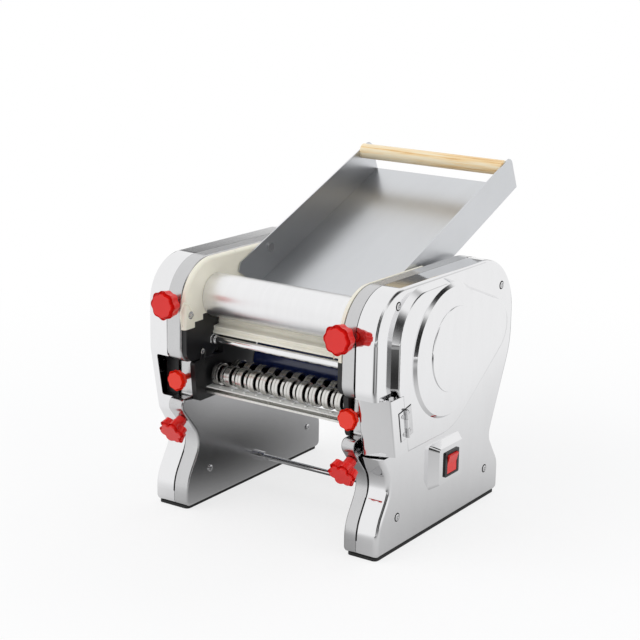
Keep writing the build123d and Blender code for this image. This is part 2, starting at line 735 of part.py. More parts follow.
def mesh_phase(first, first_phase, first_teeth, second, second_teeth):
    """Phase of a second gear whose gap meets the first gear's tooth on the line of centres."""
    line = atan2(second[1] - first[1], second[0] - first[0])
    share = (line - first_phase) / (2 * pi / first_teeth)
    return line + pi - (0.5 - share) * 2 * pi / second_teeth


def gear(centre, teeth, phase, bore, x_from, x_to):
    """Spur gear solid on an axis along X."""
    with BuildPart() as wheel:
        with BuildSketch(across(x_from, centre)):
            add(gear_face(teeth, phase, bore))
        extrude(amount=x_to - x_from)
    return wheel.part


LAY_STUD_R = 7.0
IDLER_STUD_R = 6.0
MOTOR_SHAFT_R = 5.0
front_phase = mesh_phase(REAR_ROLLER, 0, ROLLER_TEETH, FRONT_ROLLER, ROLLER_TEETH)
idler_phase = mesh_phase(REAR_ROLLER, 0, ROLLER_TEETH, IDLER, IDLER_TEETH)
rear_cutter_phase = mesh_phase(IDLER, idler_phase, IDLER_TEETH, REAR_CUTTER, CUTTER_TEETH)
front_cutter_phase = mesh_phase(REAR_CUTTER, rear_cutter_phase, CUTTER_TEETH, CUTTER_AXIS, CUTTER_TEETH)
pinion_phase = mesh_phase(REAR_ROLLER, 0, DRIVE_TEETH, LAYSHAFT, PINION_TEETH)
motor_phase = mesh_phase(LAYSHAFT, 0, WHEEL_TEETH, MOTOR, MOTOR_TEETH)

seat = GEAR_SEAT_R + 0.02
shaft_seat = CUTTER_SHAFT_R + 0.02
LEFT_GEARS = (
    ("front_roller_gear", FRONT_ROLLER, ROLLER_TEETH, front_phase, seat),
    ("rear_roller_gear", REAR_ROLLER, ROLLER_TEETH, 0, seat),
    ("idler_gear", IDLER, IDLER_TEETH, idler_phase, IDLER_STUD_R + RUN),
    ("rear_cutter_gear", REAR_CUTTER, CUTTER_TEETH, rear_cutter_phase, shaft_seat),
    ("front_cutter_gear", CUTTER_AXIS, CUTTER_TEETH, front_cutter_phase, shaft_seat),
)
for label, centre, teeth, phase, bore in LEFT_GEARS:
    keep(gear(centre, teeth, phase, bore, -GEAR_X, left_gear_end), label)

WHEEL_X = right_gear_end + 3
keep(gear(REAR_ROLLER, DRIVE_TEETH, 0, seat, GEAR_X, right_gear_end), "drive_gear")
keep(gear(MOTOR, MOTOR_TEETH, motor_phase, MOTOR_SHAFT_R + 0.02, WHEEL_X, WHEEL_X + GEAR_WIDTH), "motor_pinion")
with BuildPart() as layshaft_gear:
    add(gear(LAYSHAFT, PINION_TEETH, pinion_phase, LAY_STUD_R + RUN, GEAR_X, right_gear_end + 0.5))
    add(gear(LAYSHAFT, WHEEL_TEETH, 0, LAY_STUD_R + RUN, WHEEL_X, WHEEL_X + GEAR_WIDTH))
    with BuildSketch(across(right_gear_end + 0.5, LAYSHAFT)):
        Circle(MODULE * PINION_TEETH / 2 - 1)
        Circle(LAY_STUD_R + RUN, mode=Mode.SUBTRACT)
    extrude(amount=WHEEL_X - right_gear_end - 0.5)
keep(layshaft_gear.part, "layshaft_gear")

layshaft_steps = [
    (HALF + SKIN, GEAR_X - 0.5, LAY_STUD_R + 4),
    (HALF + SKIN, WHEEL_X + GEAR_WIDTH + 2, LAY_STUD_R),
]
idler_steps = [
    (-HALF - SKIN, -GEAR_X + 0.5, IDLER_STUD_R + 4),
    (-HALF - SKIN, left_gear_end - 2, IDLER_STUD_R),
]
with BuildPart() as gear_studs:
    add(turned(LAYSHAFT, layshaft_steps))
    add(turned(IDLER, idler_steps))
keep(gear_studs.part, "gear_studs")

# ---------------------------------------------------------------- motor
MOTOR_BELL = 25.0  # length of the end bell
FLANGE = 5.0
bell_x = MOTOR_END + MOTOR_BELL
with BuildPart() as motor_case:
    with BuildSketch(across(bell_x, MOTOR)):
        Circle(MOTOR_R)
    extrude(amount=HALF - FLANGE - bell_x)
    with BuildSketch(across(HALF - FLANGE, MOTOR)):
        Circle(MOTOR_R + 2)
    extrude(amount=FLANGE)
    with BuildSketch(across(bell_x, MOTOR)):
        Circle(MOTOR_R - MOTOR_WALL)
    extrude(amount=HALF - FLANGE - bell_x - 6, mode=Mode.SUBTRACT)
    with BuildSketch(across(bell_x, MOTOR)):
        Circle(MOTOR_SHAFT_R + RUN)
    extrude(amount=HALF - bell_x, mode=Mode.SUBTRACT)
keep(motor_case.part, "motor_case")

with BuildPart() as motor_end_bell:
    with BuildSketch(across(MOTOR_END, MOTOR)):
        Circle(MOTOR_R)
    extrude(amount=MOTOR_BELL)
    chamfer(motor_end_bell.edges().sort_by(Axis.X)[0], 5)
    with BuildSketch(across(bell_x, MOTOR)):
        Circle(MOTOR_R - MOTOR_WALL)
    extrude(amount=-MOTOR_BELL + 8, mode=Mode.SUBTRACT)
    with BuildSketch(across(bell_x, MOTOR)):
        Circle(MOTOR_SHAFT_R + RUN)
    extrude(amount=-MOTOR_BELL + 3, mode=Mode.SUBTRACT)
keep(motor_end_bell.part, "motor_end_bell")

motor_rotor = turned(
    MOTOR,
    [(bell_x + 6, HALF - 30, MOTOR_R * 0.6), (MOTOR_END + 4, WHEEL_X + GEAR_WIDTH + 1, MOTOR_SHAFT_R)],
)
keep(motor_rotor, "motor_rotor")

# ---------------------------------------------------------------- roller guards and brackets
BRACKET_FRONT = FRONT + 2
BRACKET_LOW = 214.0
GUARD_EDGE = 4.5
guard_region = polygon(
    (FRONT - 20, 260),
    (-93, 260),
    (-93, 267.5),
    (-75.5, 267.5),
    (-75.5, 275),
    (-30, 275),
    (-30, 238),
    (45, 238),
    (80, 290),
    (80, HOUSE_TOP + 20),
    (FRONT - 20, HOUSE_TOP + 20),
)
for side, name in ((-1, "left"), (1, "right")):
    with BuildPart() as roller_guard:
        add(blank(shell_face, side * (HALF - 0.1), side * GUARD_X, GUARD_EDGE, 0.6))
        with BuildSketch(across(side * HALF)):
            add(guard_region)
        extrude(amount=-side * (GUARD + 1), mode=Mode.INTERSECT)
        with BuildSketch(across(side * HALF, FRONT_ROLLER)):
            Circle(JOURNAL_R + GAP_TRAVEL + 1)
        extrude(amount=-side * (GUARD + 1), mode=Mode.SUBTRACT)
        with BuildSketch(across(side * HALF, REAR_ROLLER)):
            Circle(JOURNAL_R + 1)
        extrude(amount=-side * (GUARD + 1), mode=Mode.SUBTRACT)
        with BuildSketch(across(side * HALF, PIVOT)):
            Circle(STUD_R + 0.3)
        extrude(amount=-side * (GUARD + 1), mode=Mode.SUBTRACT)
    keep(roller_guard.part, f"roller_guard_{name}")

    bracket_face = rounded(
        [
            (BRACKET_FRONT, 259.8, 1),
            (-92.7, 259.8, 0),
            (-92.7, 267.2, 0),
            (-75.2, 267.2, 0),
            (-75.2, 274.8, 0),
            (-34, 274.8, 0),
            (-34, BRACKET_LOW + 14, 4),
            (-62, BRACKET_LOW, 10),
            (BRACKET_FRONT, BRACKET_LOW, 16),
        ]
    )
    keep(bar(bracket_face, side * (HALF - 0.1), side * GUARD_X), f"side_bracket_{name}")

# ---------------------------------------------------------------- scrapers and guide bar
GUIDE_BAR = (-56.0, 236.5)
GUIDE_BAR_R = 5.0
keep(turned(GUIDE_BAR, [(-GUARD_X, GUARD_X, GUIDE_BAR_R)]), "guide_bar")

front_scraper_face = polygon(
    (-38, 267.8),
    (-41, 261.5),
    (-41, 254),
    (-52, 253.5),
    (-52, 247.5),
    (-54, 246.5),
    (-54, 243.5),
    (-35, 243.5),
    (-29, 256),
    (-34, 262),
)
keep(bar(front_scraper_face, -GUARD_X, GUARD_X), "front_scraper")
rear_scraper_face = polygon((10, 238.5), (36, 238.5), (36, 245), (27, 245), (19.5, 243.4), (16, 241.2))
keep(bar(rear_scraper_face, -GUARD_X, GUARD_X), "rear_scraper")

# ---------------------------------------------------------------- cutter cassette
CUTTER_MID = (CUTTER_AXIS[0] + REAR_CUTTER[0]) / 2


def cutter(centre, ring_width, ring_places, x_left):
    """Cutter roller: a root with a row of rings, on a shaft."""
    half = CUTTER_LENGTH / 2
    steps = [(-half, half, CUTTER_ROOT_R), (x_left, HALF - 1.5, CUTTER_SHAFT_R)]
    steps += [(x - ring_width / 2, x + ring_width / 2, CUTTER_R) for x in ring_places]
    return turned(centre, steps)


ring_count = floor((CUTTER_LENGTH - RING) / CUTTER_PITCH) + 1
front_rings = [(i - (ring_count - 1) / 2) * CUTTER_PITCH for i in range(ring_count)]
rear_rings = [x + CUTTER_PITCH / 2 for x in front_rings[:-1]]
REAR_RING = CUTTER_PITCH - RING - 2 * RING_PLAY
cutter_shaft_end = left_gear_end - 0.5
keep(cutter(CUTTER_AXIS, RING, front_rings, cutter_shaft_end), "front_cutter")
keep(cutter(REAR_CUTTER, REAR_RING, rear_rings, cutter_shaft_end), "rear_cutter")

PLATE_FOOT = [(-4.6, 160, 8), (-40, 155, 8), (-90, 155, 10), (-96, 212, 4)]
LEFT_PLATE = [(-33, 212, 2), (-33, 236, 3), (44, 236, 4), (44, 170, 10)]
for side, name, plate_top in ((-1, "left", LEFT_PLATE), (1, "right", [(-4.6, 212, 8)])):
    with BuildPart() as cutter_plate:
        with BuildSketch(across(side * PLATE_X)):
            add(rounded(plate_top + PLATE_FOOT))
            with Locations(CUTTER_AXIS, REAR_CUTTER):
                Circle(CUTTER_SHAFT_R + RUN, mode=Mode.SUBTRACT)
        extrude(amount=side * PLATE)
    keep(cutter_plate.part, f"cutter_plate_{name}")

TINE = 3.6


def comb(face_points, bar_points, places):
    """Comb: a bar with one tine in each groove of a cutter."""
    with BuildPart() as rake:
        with BuildSketch(across(-PLATE_X)):
            add(polygon(*bar_points))
        extrude(amount=2 * PLATE_X)
        for x in places:
            with BuildSketch(across(x - TINE / 2)):
                add(polygon(*face_points))
            extrude(amount=TINE)
    return rake.part


# Each tine follows the cutter's root from below and stops beside the axis; the rear
# comb is the front one seen in a mirror between the cutters.
front_bar = [(-70, COMB_BASE), (-70, COMB_BASE + 2), (-56.6, COMB_BASE + 2), (-56.6, COMB_BASE)]
front_tine = [(-69, COMB_BASE), (-67, 181), (-61.5, 186.5), (-59.2, 184), (-58, 178), (-57, COMB_BASE)]
rear_tine = [(2 * CUTTER_MID - y + (0 if y > -65 else -3.5), z) for y, z in front_tine]
rear_bar = [(2 * CUTTER_MID - y + (0 if y > -65 else -3.5), z) for y, z in front_bar]
front_grooves = rear_rings
rear_grooves = front_rings[1:-1]
keep(comb(front_tine, front_bar, front_grooves), "front_comb")
keep(comb(rear_tine, rear_bar, rear_grooves), "rear_comb")

chute_face = polygon(
    (-70, 163.5),
    (-70, 166.5),
    (-57.5, 166.5),
    (-57.5, COMB_BASE - 0.01),
    (-55.5, COMB_BASE - 0.01),
    (-55.5, 163.5),
)
keep(bar(chute_face, -PLATE_X, PLATE_X), "chute_rail")

# ---------------------------------------------------------------- tie rods and feet
tie_rod = turned(
    LOWER_ROD,
    [
        (-HALF, HALF, LOWER_ROD_R),
        (-HALF, -HALF + 10, LOWER_ROD_R + 3),
        (HALF - 10, HALF, LOWER_ROD_R + 3),
    ],
)
keep(tie_rod, "lower_tie_rod")
keep(turned(UPPER_ROD, [(-HALF, HALF, UPPER_ROD_R)]), "upper_tie_rod")

for side, name, outer_face in ((-1, "left", LEFT_X), (1, "right", RIGHT_X)):
    inner_x, outer_x = HALF + 3, outer_face - 3
    with BuildPart() as foot_strip:
        with BuildSketch(Plane.XY):
            with Locations((side * (inner_x + outer_x) / 2, (TOE + HEEL) / 2)):
                RectangleRounded(outer_x - inner_x, HEEL - TOE - 8, 6)
        extrude(amount=FOOT)
    keep(foot_strip.part, f"foot_strip_{name}")

with BuildPart() as cord_bush:
    with BuildSketch(facing_front(SHELL_X + RIGHT_DEPTH / 2, HEEL, 30)):
        Circle(9)
    extrude(amount=-4)
    with BuildSketch(facing_front(SHELL_X + RIGHT_DEPTH / 2, HEEL, 30)):
        Circle(6)
    extrude(amount=8)
    with BuildSketch(facing_front(SHELL_X + RIGHT_DEPTH / 2, HEEL, 30)):
        Circle(3.5)
    extrude(amount=20, both=True, mode=Mode.SUBTRACT)
keep(cord_bush.part, "cord_bush")


# ---------------------------------------------------------------- knobs
def lobed(radius, lobes, lobe_r, core):
    """Knob section: a core circle with round lobes that reach the full radius."""
    with BuildSketch() as face:
        Circle(core)
        with PolarLocations(radius - lobe_r, lobes):
            Circle(lobe_r)
    return face.sketch


for side, name in ((-1, "left"), (1, "right")):
    top_back = TOP_KNOB_FACE + TOP_KNOB_DEPTH
    with BuildPart() as top_knob:
        with BuildSketch(facing_front(side * KNOB_X, top_back, FRONT_ROLLER[1])):
            add(lobed(TOP_KNOB_R, 8, 5.2, 17.4))
        extrude(amount=TOP_KNOB_DEPTH)
        with BuildSketch(facing_front(side * KNOB_X, top_back, FRONT_ROLLER[1])):
            Circle(9)
        extrude(amount=-6)
        with BuildSketch(facing_front(side * KNOB_X, top_back + 6, FRONT_ROLLER[1])):
            Circle(SCREW_R + 0.02)
        extrude(amount=16, mode=Mode.SUBTRACT)
    keep(top_knob.part, f"top_knob_{name}")

    with BuildPart() as top_screw:
        with BuildSketch(facing_front(side * KNOB_X, top_back - 10, FRONT_ROLLER[1])):
            Circle(SCREW_R)
        extrude(amount=-(SCREW_TIP - top_back + 10))
    keep(top_screw.part, f"top_screw_{name}")

    mid_back = MID_KNOB_FACE + MID_KNOB_DEPTH
    with BuildPart() as mid_knob:
        with BuildSketch(facing_front(side * KNOB_X, mid_back, MID_KNOB_Z)):
            add(lobed(MID_KNOB_R, 8, 4, 13))
        extrude(amount=MID_KNOB_DEPTH)
        with BuildSketch(facing_front(side * KNOB_X, mid_back, MID_KNOB_Z)):
            Circle(7.5)
        extrude(amount=-5)
        with BuildSketch(facing_front(side * KNOB_X, mid_back, MID_KNOB_Z)):
            Circle(STUD_R)
        extrude(amount=-(NOTCH_Y + BOSS_DEPTH - 3 - mid_back))
    keep(mid_knob.part, f"mid_knob_{name}")

    low_plane = facing_front(side * KNOB_X, LOW_KNOB_Y, LOW_KNOB_Z, LOW_KNOB_TILT)
    with BuildPart() as low_knob:
        with BuildSketch(low_plane.offset(LOW_KNOB_STANDOFF)):
            add(lobed(LOW_KNOB_R, 6, 6.5, 15.5))
        extrude(amount=LOW_KNOB_DEPTH)
        with BuildSketch(low_plane.offset(2)):
            Circle(8.5)
        extrude(amount=LOW_KNOB_STANDOFF)
        with BuildSketch(low_plane.offset(-BOSS_DEPTH + 2)):
            Circle(STUD_R)
        extrude(amount=BOSS_DEPTH)
    keep(low_knob.part, f"low_knob_{name}")

# ---------------------------------------------------------------- tray
TRAY_HALF = TRAY_WIDTH / 2


def tray_plane(x):
    """Plane square to X with its first axis along the tray's floor."""
    return Plane(
        origin=(x, TRAY_FLOOR[0], TRAY_FLOOR[1]),
        x_dir=(0, cos(radians(TRAY_SLOPE)), sin(radians(TRAY_SLOPE))),
        z_dir=(1, 0, 0),
    )


tray_side = rounded(
    [
        (TRAY_FRONT, 0, 0),
        (TRAY_FRONT - 5, TRAY_WALL / 3, 40),
        (TRAY_FRONT - 23, TRAY_WALL - 10, 0),
        (TRAY_FRONT - 15, TRAY_WALL, 4),
        (TRAY_END - 2, TRAY_WALL, 12),
        (TRAY_END, 0, 0),
    ]
)
with BuildPart() as tray_pan:
    with BuildSketch(tray_plane(-TRAY_HALF)):
        add(tray_side)
    extrude(amount=TRAY_WIDTH)
    with BuildSketch(tray_plane(-TRAY_HALF + SKIN)):
        with Locations(((TRAY_END + TRAY_FRONT) / 2, TRAY_WALL)):
            Rectangle(TRAY_END - TRAY_FRONT + 100, 2 * (TRAY_WALL - SKIN))
    extrude(amount=TRAY_WIDTH - 2 * SKIN, mode=Mode.SUBTRACT)
    with BuildSketch(tray_plane(-TRAY_HALF - 1)):
        with Locations(TRAY_PIVOT):
            Circle(STUD_R + RUN)
    extrude(amount=TRAY_WIDTH + 2, mode=Mode.SUBTRACT)
keep(tray_pan.part, "tray_pan")

handle_half = TRAY_HALF - SKIN
with BuildPart() as tray_handle:
    with BuildSketch(tray_plane(-handle_half)):
        with Locations(HANDLE_AT):
            Circle(HANDLE_R)
    extrude(amount=2 * handle_half)
keep(tray_handle.part, "tray_handle")

with BuildPart() as pivot_studs:
    for side in (-1, 1):
        with BuildSketch(across(side * HALF, PIVOT)):
            Circle(STUD_R)
        extrude(amount=-side * (HALF - handle_half + 1))
        with BuildSketch(across(side * (handle_half - 0.3), PIVOT)):
            Circle(STUD_R + 3)
        extrude(amount=-side * 2)
keep(pivot_studs.part, "pivot_studs")

# ---------------------------------------------------------------- screws
SCREWS_AT = ((-65, 331), (206, 305), (-54, 48), (178, 46))
with BuildPart() as cover_screws:
    for side, outer_x in ((-1, LEFT_X), (1, RIGHT_X)):
        for place in SCREWS_AT:
            with BuildSketch(across(side * outer_x, place)):
                Circle(4.5)
            extrude(amount=side * 1.2)
keep(cover_screws.part, "cover_screws")


# ---------------------------------------------------------------- writing
def save_pieces():
    """Moves the machine to its bottom centre and writes one STEP file for each piece."""
    box = Compound(children=[piece.moved(Location()) for piece in PIECES]).bounding_box()
    shift = Location((-(box.min.X + box.max.X) / 2, -(box.min.Y + box.max.Y) / 2, -box.min.Z))
    print("shift", shift.position, "size", box.size)
    for piece in PIECES:
        moved = piece.moved(shift)
        moved.label = piece.label
        export_step(moved, f"parts/{piece.label}.step")


save_pieces()
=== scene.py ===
import json
import math

import bpy
import numpy as np
from mathutils import Matrix, Vector


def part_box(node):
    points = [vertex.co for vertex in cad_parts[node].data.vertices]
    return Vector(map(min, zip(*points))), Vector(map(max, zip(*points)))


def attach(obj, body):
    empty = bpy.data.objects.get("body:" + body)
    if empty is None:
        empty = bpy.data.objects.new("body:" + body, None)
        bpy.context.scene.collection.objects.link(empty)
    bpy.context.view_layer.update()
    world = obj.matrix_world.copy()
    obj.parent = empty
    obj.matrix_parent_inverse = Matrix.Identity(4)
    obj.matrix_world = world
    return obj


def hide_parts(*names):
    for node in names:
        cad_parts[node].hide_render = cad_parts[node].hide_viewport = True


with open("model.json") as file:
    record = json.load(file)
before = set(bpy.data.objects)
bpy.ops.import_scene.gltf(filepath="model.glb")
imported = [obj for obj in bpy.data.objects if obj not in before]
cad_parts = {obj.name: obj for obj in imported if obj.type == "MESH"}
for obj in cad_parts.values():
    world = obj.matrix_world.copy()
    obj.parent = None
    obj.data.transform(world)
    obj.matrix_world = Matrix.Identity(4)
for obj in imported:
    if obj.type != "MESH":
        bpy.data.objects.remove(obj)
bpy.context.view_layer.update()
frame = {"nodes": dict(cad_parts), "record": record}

# Sizes below are in millimetres in the machine's own frame: X = 0 midway between the
# housings, Z = 0 on the table. The guide bar's CAD box gives that frame's place.
BAR_Y, BAR_Z = -56.0, 236.5  # guide bar's middle
bar_low, bar_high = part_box("guide_bar")
SHIFT = np.array(((bar_low.x + bar_high.x) * 500, (bar_low.y + bar_high.y) * 500 - BAR_Y, 0.0))
NODES = frame["nodes"]
BODIES = frame["record"]["behaviour"]["bodies"]
BODY_OF = {node: body for body, nodes in BODIES.items() for node in nodes}
SLOT_OF = {part["node"]: part["material_slot"] for part in frame["record"]["subparts"]}

HALF = 127.5  # housings' inner faces
SHELL_X = 146.8  # joint between the right housing's shell and its cover
LEFT_SHELL_X = 150.5
LEFT_X = 184.5  # outer face of the left cover
RIGHT_X = 178.5
PAD_X = 189.0  # outer face of the right cover's pad
LEAF = 1.0  # thickness of the hinge's leaves
KNOB_X = 137.15
GUARD_X = 120.5  # roller guards' inner faces
CUTTER_AXES = ((-50.0, 187.0), (-22.0, 187.0))  # (y, z) of the front and the rear cutter
RING_PITCH = 20.0
HINGE_SLOPE = 15.0 / 77.5  # the door's hinge leans back by this share of its height
HINGE_Z = 178.5
HINGE_Y = -63.8 + HINGE_SLOPE * (216 - HINGE_Z)


# ---------------------------------------------------------------- shader values
class Value:
    """Output socket of a shader node that takes part in sums and products."""

    def __init__(self, tree, socket):
        self.tree = tree
        self.socket = socket

    def math(self, operation, first, second=0.0):
        node = self.tree.nodes.new("ShaderNodeMath")
        node.operation = operation
        for slot, value in zip(node.inputs, (first, second)):
            if isinstance(value, Value):
                self.tree.links.new(value.socket, slot)
            else:
                slot.default_value = value
        return Value(self.tree, node.outputs[0])

    def __add__(self, other):
        return self.math("ADD", self, other)

    __radd__ = __add__

    def __sub__(self, other):
        return self.math("SUBTRACT", self, other)

    def __rsub__(self, other):
        return self.math("SUBTRACT", other, self)

    def __mul__(self, other):
        return self.math("MULTIPLY", self, other)

    __rmul__ = __mul__

    def __pow__(self, other):
        return self.math("POWER", self, other)

    def over(self, other):
        return self.math("GREATER_THAN", self, other)

    def fall(self):
        """e to the power of the negative value."""
        return self.math("EXPONENT", self * -1)


class Nodes:
    """Short ways to add nodes to one tree."""

    def __init__(self, tree):
        self.tree = tree

    def set(self, node, values):
        """Links or writes values to a node's inputs, which go by name or by number."""
        for key, value in values.items():
            slot = node.inputs[key.replace("_", " ") if isinstance(key, str) else key]
            if isinstance(value, Value):
                self.tree.links.new(value.socket, slot)
            else:
                slot.default_value = value

    def add(self, kind, options=None, values=None):
        """Adds a node, sets its options and inputs, and returns it."""
        node = self.tree.nodes.new("ShaderNode" + kind)
        for key, value in (options or {}).items():
            setattr(node, key, value)
        self.set(node, values or {})
        return node

    def node(self, kind, output=0, options=None, **inputs):
        """Adds a node and returns one of its outputs as a Value."""
        return Value(self.tree, self.add(kind, options, inputs).outputs[output])

    def place(self, stretch=(1, 1, 1)):
        """Object coordinates, scaled so that a pattern can be drawn out."""
        return self.node("Mapping", Vector=self.node("TexCoord", "Object"), Scale=stretch)

    def noise(self, scale, stretch=(1, 1, 1), detail=3.0, roughness=0.5):
        where = self.place(stretch)
        return self.node("TexNoise", Vector=where, Scale=scale, Detail=detail, Roughness=roughness)

    def colours(self, share, *stops):
        """Colour ramp through (position, colour) stops."""
        node = self.add("ValToRGB", values={"Fac": share})
        while len(node.color_ramp.elements) < len(stops):
            node.color_ramp.elements.new(0.5)
        for element, (position, colour) in zip(node.color_ramp.elements, stops):
            element.position = position
            element.color = (*colour, 1)
        return Value(self.tree, node.outputs[0])

    def bump(self, height, strength, depth=0.0002):
        return self.node("Bump", Height=height, Strength=strength, Distance=depth)

    def split(self, vector):
        """The three parts of a vector."""
        node = self.add("SeparateXYZ", values={"Vector": vector})
        return tuple(Value(self.tree, socket) for socket in node.outputs)

    def ramp(self, value, start, end):
        """0 below start, 1 above end, and a smooth step between them."""
        smooth = {"interpolation_type": "SMOOTHSTEP"}
        return self.node("MapRange", options=smooth, Value=value, From_Min=start, From_Max=end)

    def mixed(self, share, first, second):
        """Colour that goes from first to second with share."""
        node = self.add("Mix", {"data_type": "RGBA"}, {0: share, 6: first, 7: second})
        return Value(self.tree, node.outputs[2])

    def blend(self, share, first, second):
        """Shader that goes from first to second with share."""
        node = self.add("MixShader", values={0: share, 1: first, 2: second})
        return Value(self.tree, node.outputs[0])


class Shader(Nodes):
    """One material: its tree and its principled node."""

    def __init__(self, name, **constants):
        self.material = bpy.data.materials.new(name)
        self.material.use_nodes = True
        super().__init__(self.material.node_tree)
        self.surface = self.tree.nodes["Principled BSDF"]
        self.drive(**constants)

    def drive(self, **inputs):
        self.set(self.surface, inputs)


def grey(value, tint=(1, 1, 1)):
    return tuple(value * t for t in tint)


def steel(name, value, rough, stretch, streak, lines=60.0, tint=(1, 1, 1.01)):
    """Stainless steel: streaks along the rolling direction move its roughness and shade."""
    s = Shader(name, Metallic=1.0)
    grain = s.noise(lines, stretch, 6.0, 0.65)
    cloud = s.noise(9.0)
    dark, light = grey(value * (1 - 0.5 * streak), tint), grey(value * (1 + 0.25 * streak), tint)
    s.drive(
        Base_Color=s.colours(grain, (0.3, dark), (0.7, light)),
        Roughness=rough + (grain - 0.5) * (0.35 * streak) + (cloud - 0.5) * (rough * 0.35),
        Normal=s.bump(grain, 0.10 * streak, 0.0001),
    )
    return s.material


def plastic(name, colour, rough=0.3, coat=0.3, grain=0.15, scatter=0.0):
    """Moulded plastic: a fine orange-peel bump, slight mottling and a thin coat."""
    depths = (0.004, 0.003, 0.002)
    s = Shader(name, Coat_Roughness=0.12, Subsurface_Weight=scatter, Subsurface_Radius=depths)
    peel = s.noise(900.0, detail=2.0)
    mottle = s.noise(25.0, detail=4.0)
    shade = tuple(c * 0.93 for c in colour)
    s.drive(
        Base_Color=s.colours(mottle, (0.3, shade), (0.65, colour)),
        Roughness=rough + (mottle - 0.5) * 0.12,
        Coat_Weight=coat + (mottle - 0.5) * 0.1,
        Normal=s.bump(peel, grain, 0.0001),
    )
    return s.material


def paint(name, colour, rough=0.25, coat=0.6):
    """Sprayed enamel: a soft peel under a clear coat."""
    s = Shader(name, Coat_Roughness=0.08)
    peel = s.noise(350.0, detail=2.0)
    s.drive(
        Base_Color=s.colours(peel, (0.2, tuple(c * 0.85 for c in colour)), (0.8, colour)),
        Roughness=rough + (peel - 0.5) * 0.1,
        Coat_Weight=coat + (peel - 0.5) * 0.1,
        Normal=s.bump(peel, 0.15, 0.0002),
    )
    return s.material


def wood(name):
    """Pale turned wood: fibres drawn out along X over slow bands of early and late growth."""
    s = Shader(name, Coat_Roughness=0.2)
    bend = s.noise(14.0, (0.25, 1, 1))
    where = s.place((0.6, 22.0, 22.0))
    bands = s.node("TexNoise", Vector=where, Scale=9.0, Detail=3.0, Distortion=0.6)
    fibre = s.noise(420.0, (0.05, 1, 1), 5.0, 0.7)
    figure = bands * 0.55 + fibre * 0.3 + bend * 0.15
    late, mid, early = (0.70, 0.36, 0.11), (0.97, 0.70, 0.36), (1.0, 0.87, 0.62)
    s.drive(
        Base_Color=s.colours(figure, (0.37, late), (0.45, mid), (0.56, early)),
        Roughness=0.36 + (fibre - 0.5) * 0.3,
        Coat_Weight=0.25 + (bands - 0.5) * 0.2,
        Normal=s.bump(fibre, 0.12, 0.0001),
    )
    return s.material


def rough_metal(name, colour, rough, metallic=1.0, scale=250.0, bumps=0.35):
    """Cast or machined metal: pitted bump with darker hollows."""
    s = Shader(name, Metallic=metallic)
    pits = s.noise(scale, detail=6.0, roughness=0.65)
    s.drive(
        Base_Color=s.colours(pits, (0.3, tuple(c * 0.7 for c in colour)), (0.6, colour)),
        Roughness=rough + (pits - 0.5) * 0.3,
        Normal=s.bump(pits, bumps, 0.0003),
    )
    return s.material


MATERIALS = {
    "shell_steel": steel("polished_shell", 0.82, 0.07, (1, 1, 0.3), 0.03),
    "inner_steel": steel("brushed_shell", 0.60, 0.22, (1, 0.6, 0.3), 0.05),
    "tray_steel": steel("tray_sheet", 0.66, 0.31, (1, 0.2, 0.2), 0.04, tint=(0.98, 1, 1.03)),
    "roller_steel": steel("ground_roller", 0.87, 0.33, (1, 0.05, 0.05), 0.05, 160.0),
    "bright_rod": steel("polished_rod", 0.85, 0.10, (0.1, 1, 1), 0.08),
    "cutter_steel": steel("cutter_steel", 0.74, 0.28, (1, 0.05, 0.05), 0.25, 160.0, (1, 0.99, 0.95)),
    "cream_plastic": plastic("cream_plastic", (0.94, 0.90, 0.76), 0.30, 0.25, 0.1, 0.05),
    "white_plastic": plastic("white_plastic", (0.86, 0.86, 0.83), 0.35, 0.2),
    "black_plastic": plastic("black_plastic", (0.007, 0.007, 0.008), 0.42, 0.05),
    "red_plastic": plastic("red_plastic", (0.78, 0.010, 0.006), 0.32, 0.10, 0.1, 0.02),
    "orange_plastic": plastic("orange_plastic", (0.88, 0.028, 0.008), 0.32, 0.10, 0.1, 0.02),
    "handle_wood": wood("handle_wood"),
    "motor_paint": paint("motor_paint", (0.015, 0.030, 0.14)),
    "casting": rough_metal("casting", (0.42, 0.43, 0.44), 0.5),
    "gear_steel": rough_metal("gear_steel", (0.32, 0.32, 0.33), 0.38, 1.0, 400.0, 0.15),
    "bronze": rough_metal("bronze", (0.60, 0.40, 0.20), 0.35, 1.0, 300.0, 0.12),
    "rubber_black": rough_metal("rubber", (0.022, 0.022, 0.022), 0.75, 0.0, 500.0, 0.3),
    "screw_steel": steel("screw_steel", 0.70, 0.22, (1, 1, 1), 0.15),
}


def dress(node):
    """Gives a CAD node its slot's material and smooth shading between its curved faces."""
    mesh = NODES[node].data
    mesh.materials.clear()
    mesh.materials.append(MATERIALS[SLOT_OF[node]])
    mesh.polygons.foreach_set("material_index", np.zeros(len(mesh.polygons), np.int32))
    mesh.polygons.foreach_set("use_smooth", np.ones(len(mesh.polygons), bool))
    mesh.set_sharp_from_angle(angle=math.radians(28))
    settle = NODES[node].modifiers.new("settle", "WEIGHTED_NORMAL")
    settle.keep_sharp = True
    settle.weight = 50


for name in NODES:
    dress(name)


# ---------------------------------------------------------------- surfaces
def to_frame(points):
    """Machine millimetres to the row frame's metres."""
    return (np.asarray(points, float) + SHIFT) * 0.001


def sheet(points, close_columns=False):
    """(vertices, quads) of a grid of points [rows, columns, 3].

    A closed one joins its last column to its first.
    """
    rows, columns = points.shape[:2]
    index = np.arange(rows * columns).reshape(rows, columns)
    if close_columns:
        index = np.concatenate((index, index[:, :1]), 1)
    corners = (index[:-1, :-1], index[:-1, 1:], index[1:, 1:], index[1:, :-1])
    return points.reshape(-1, 3), np.stack(corners, -1).reshape(-1, 4)


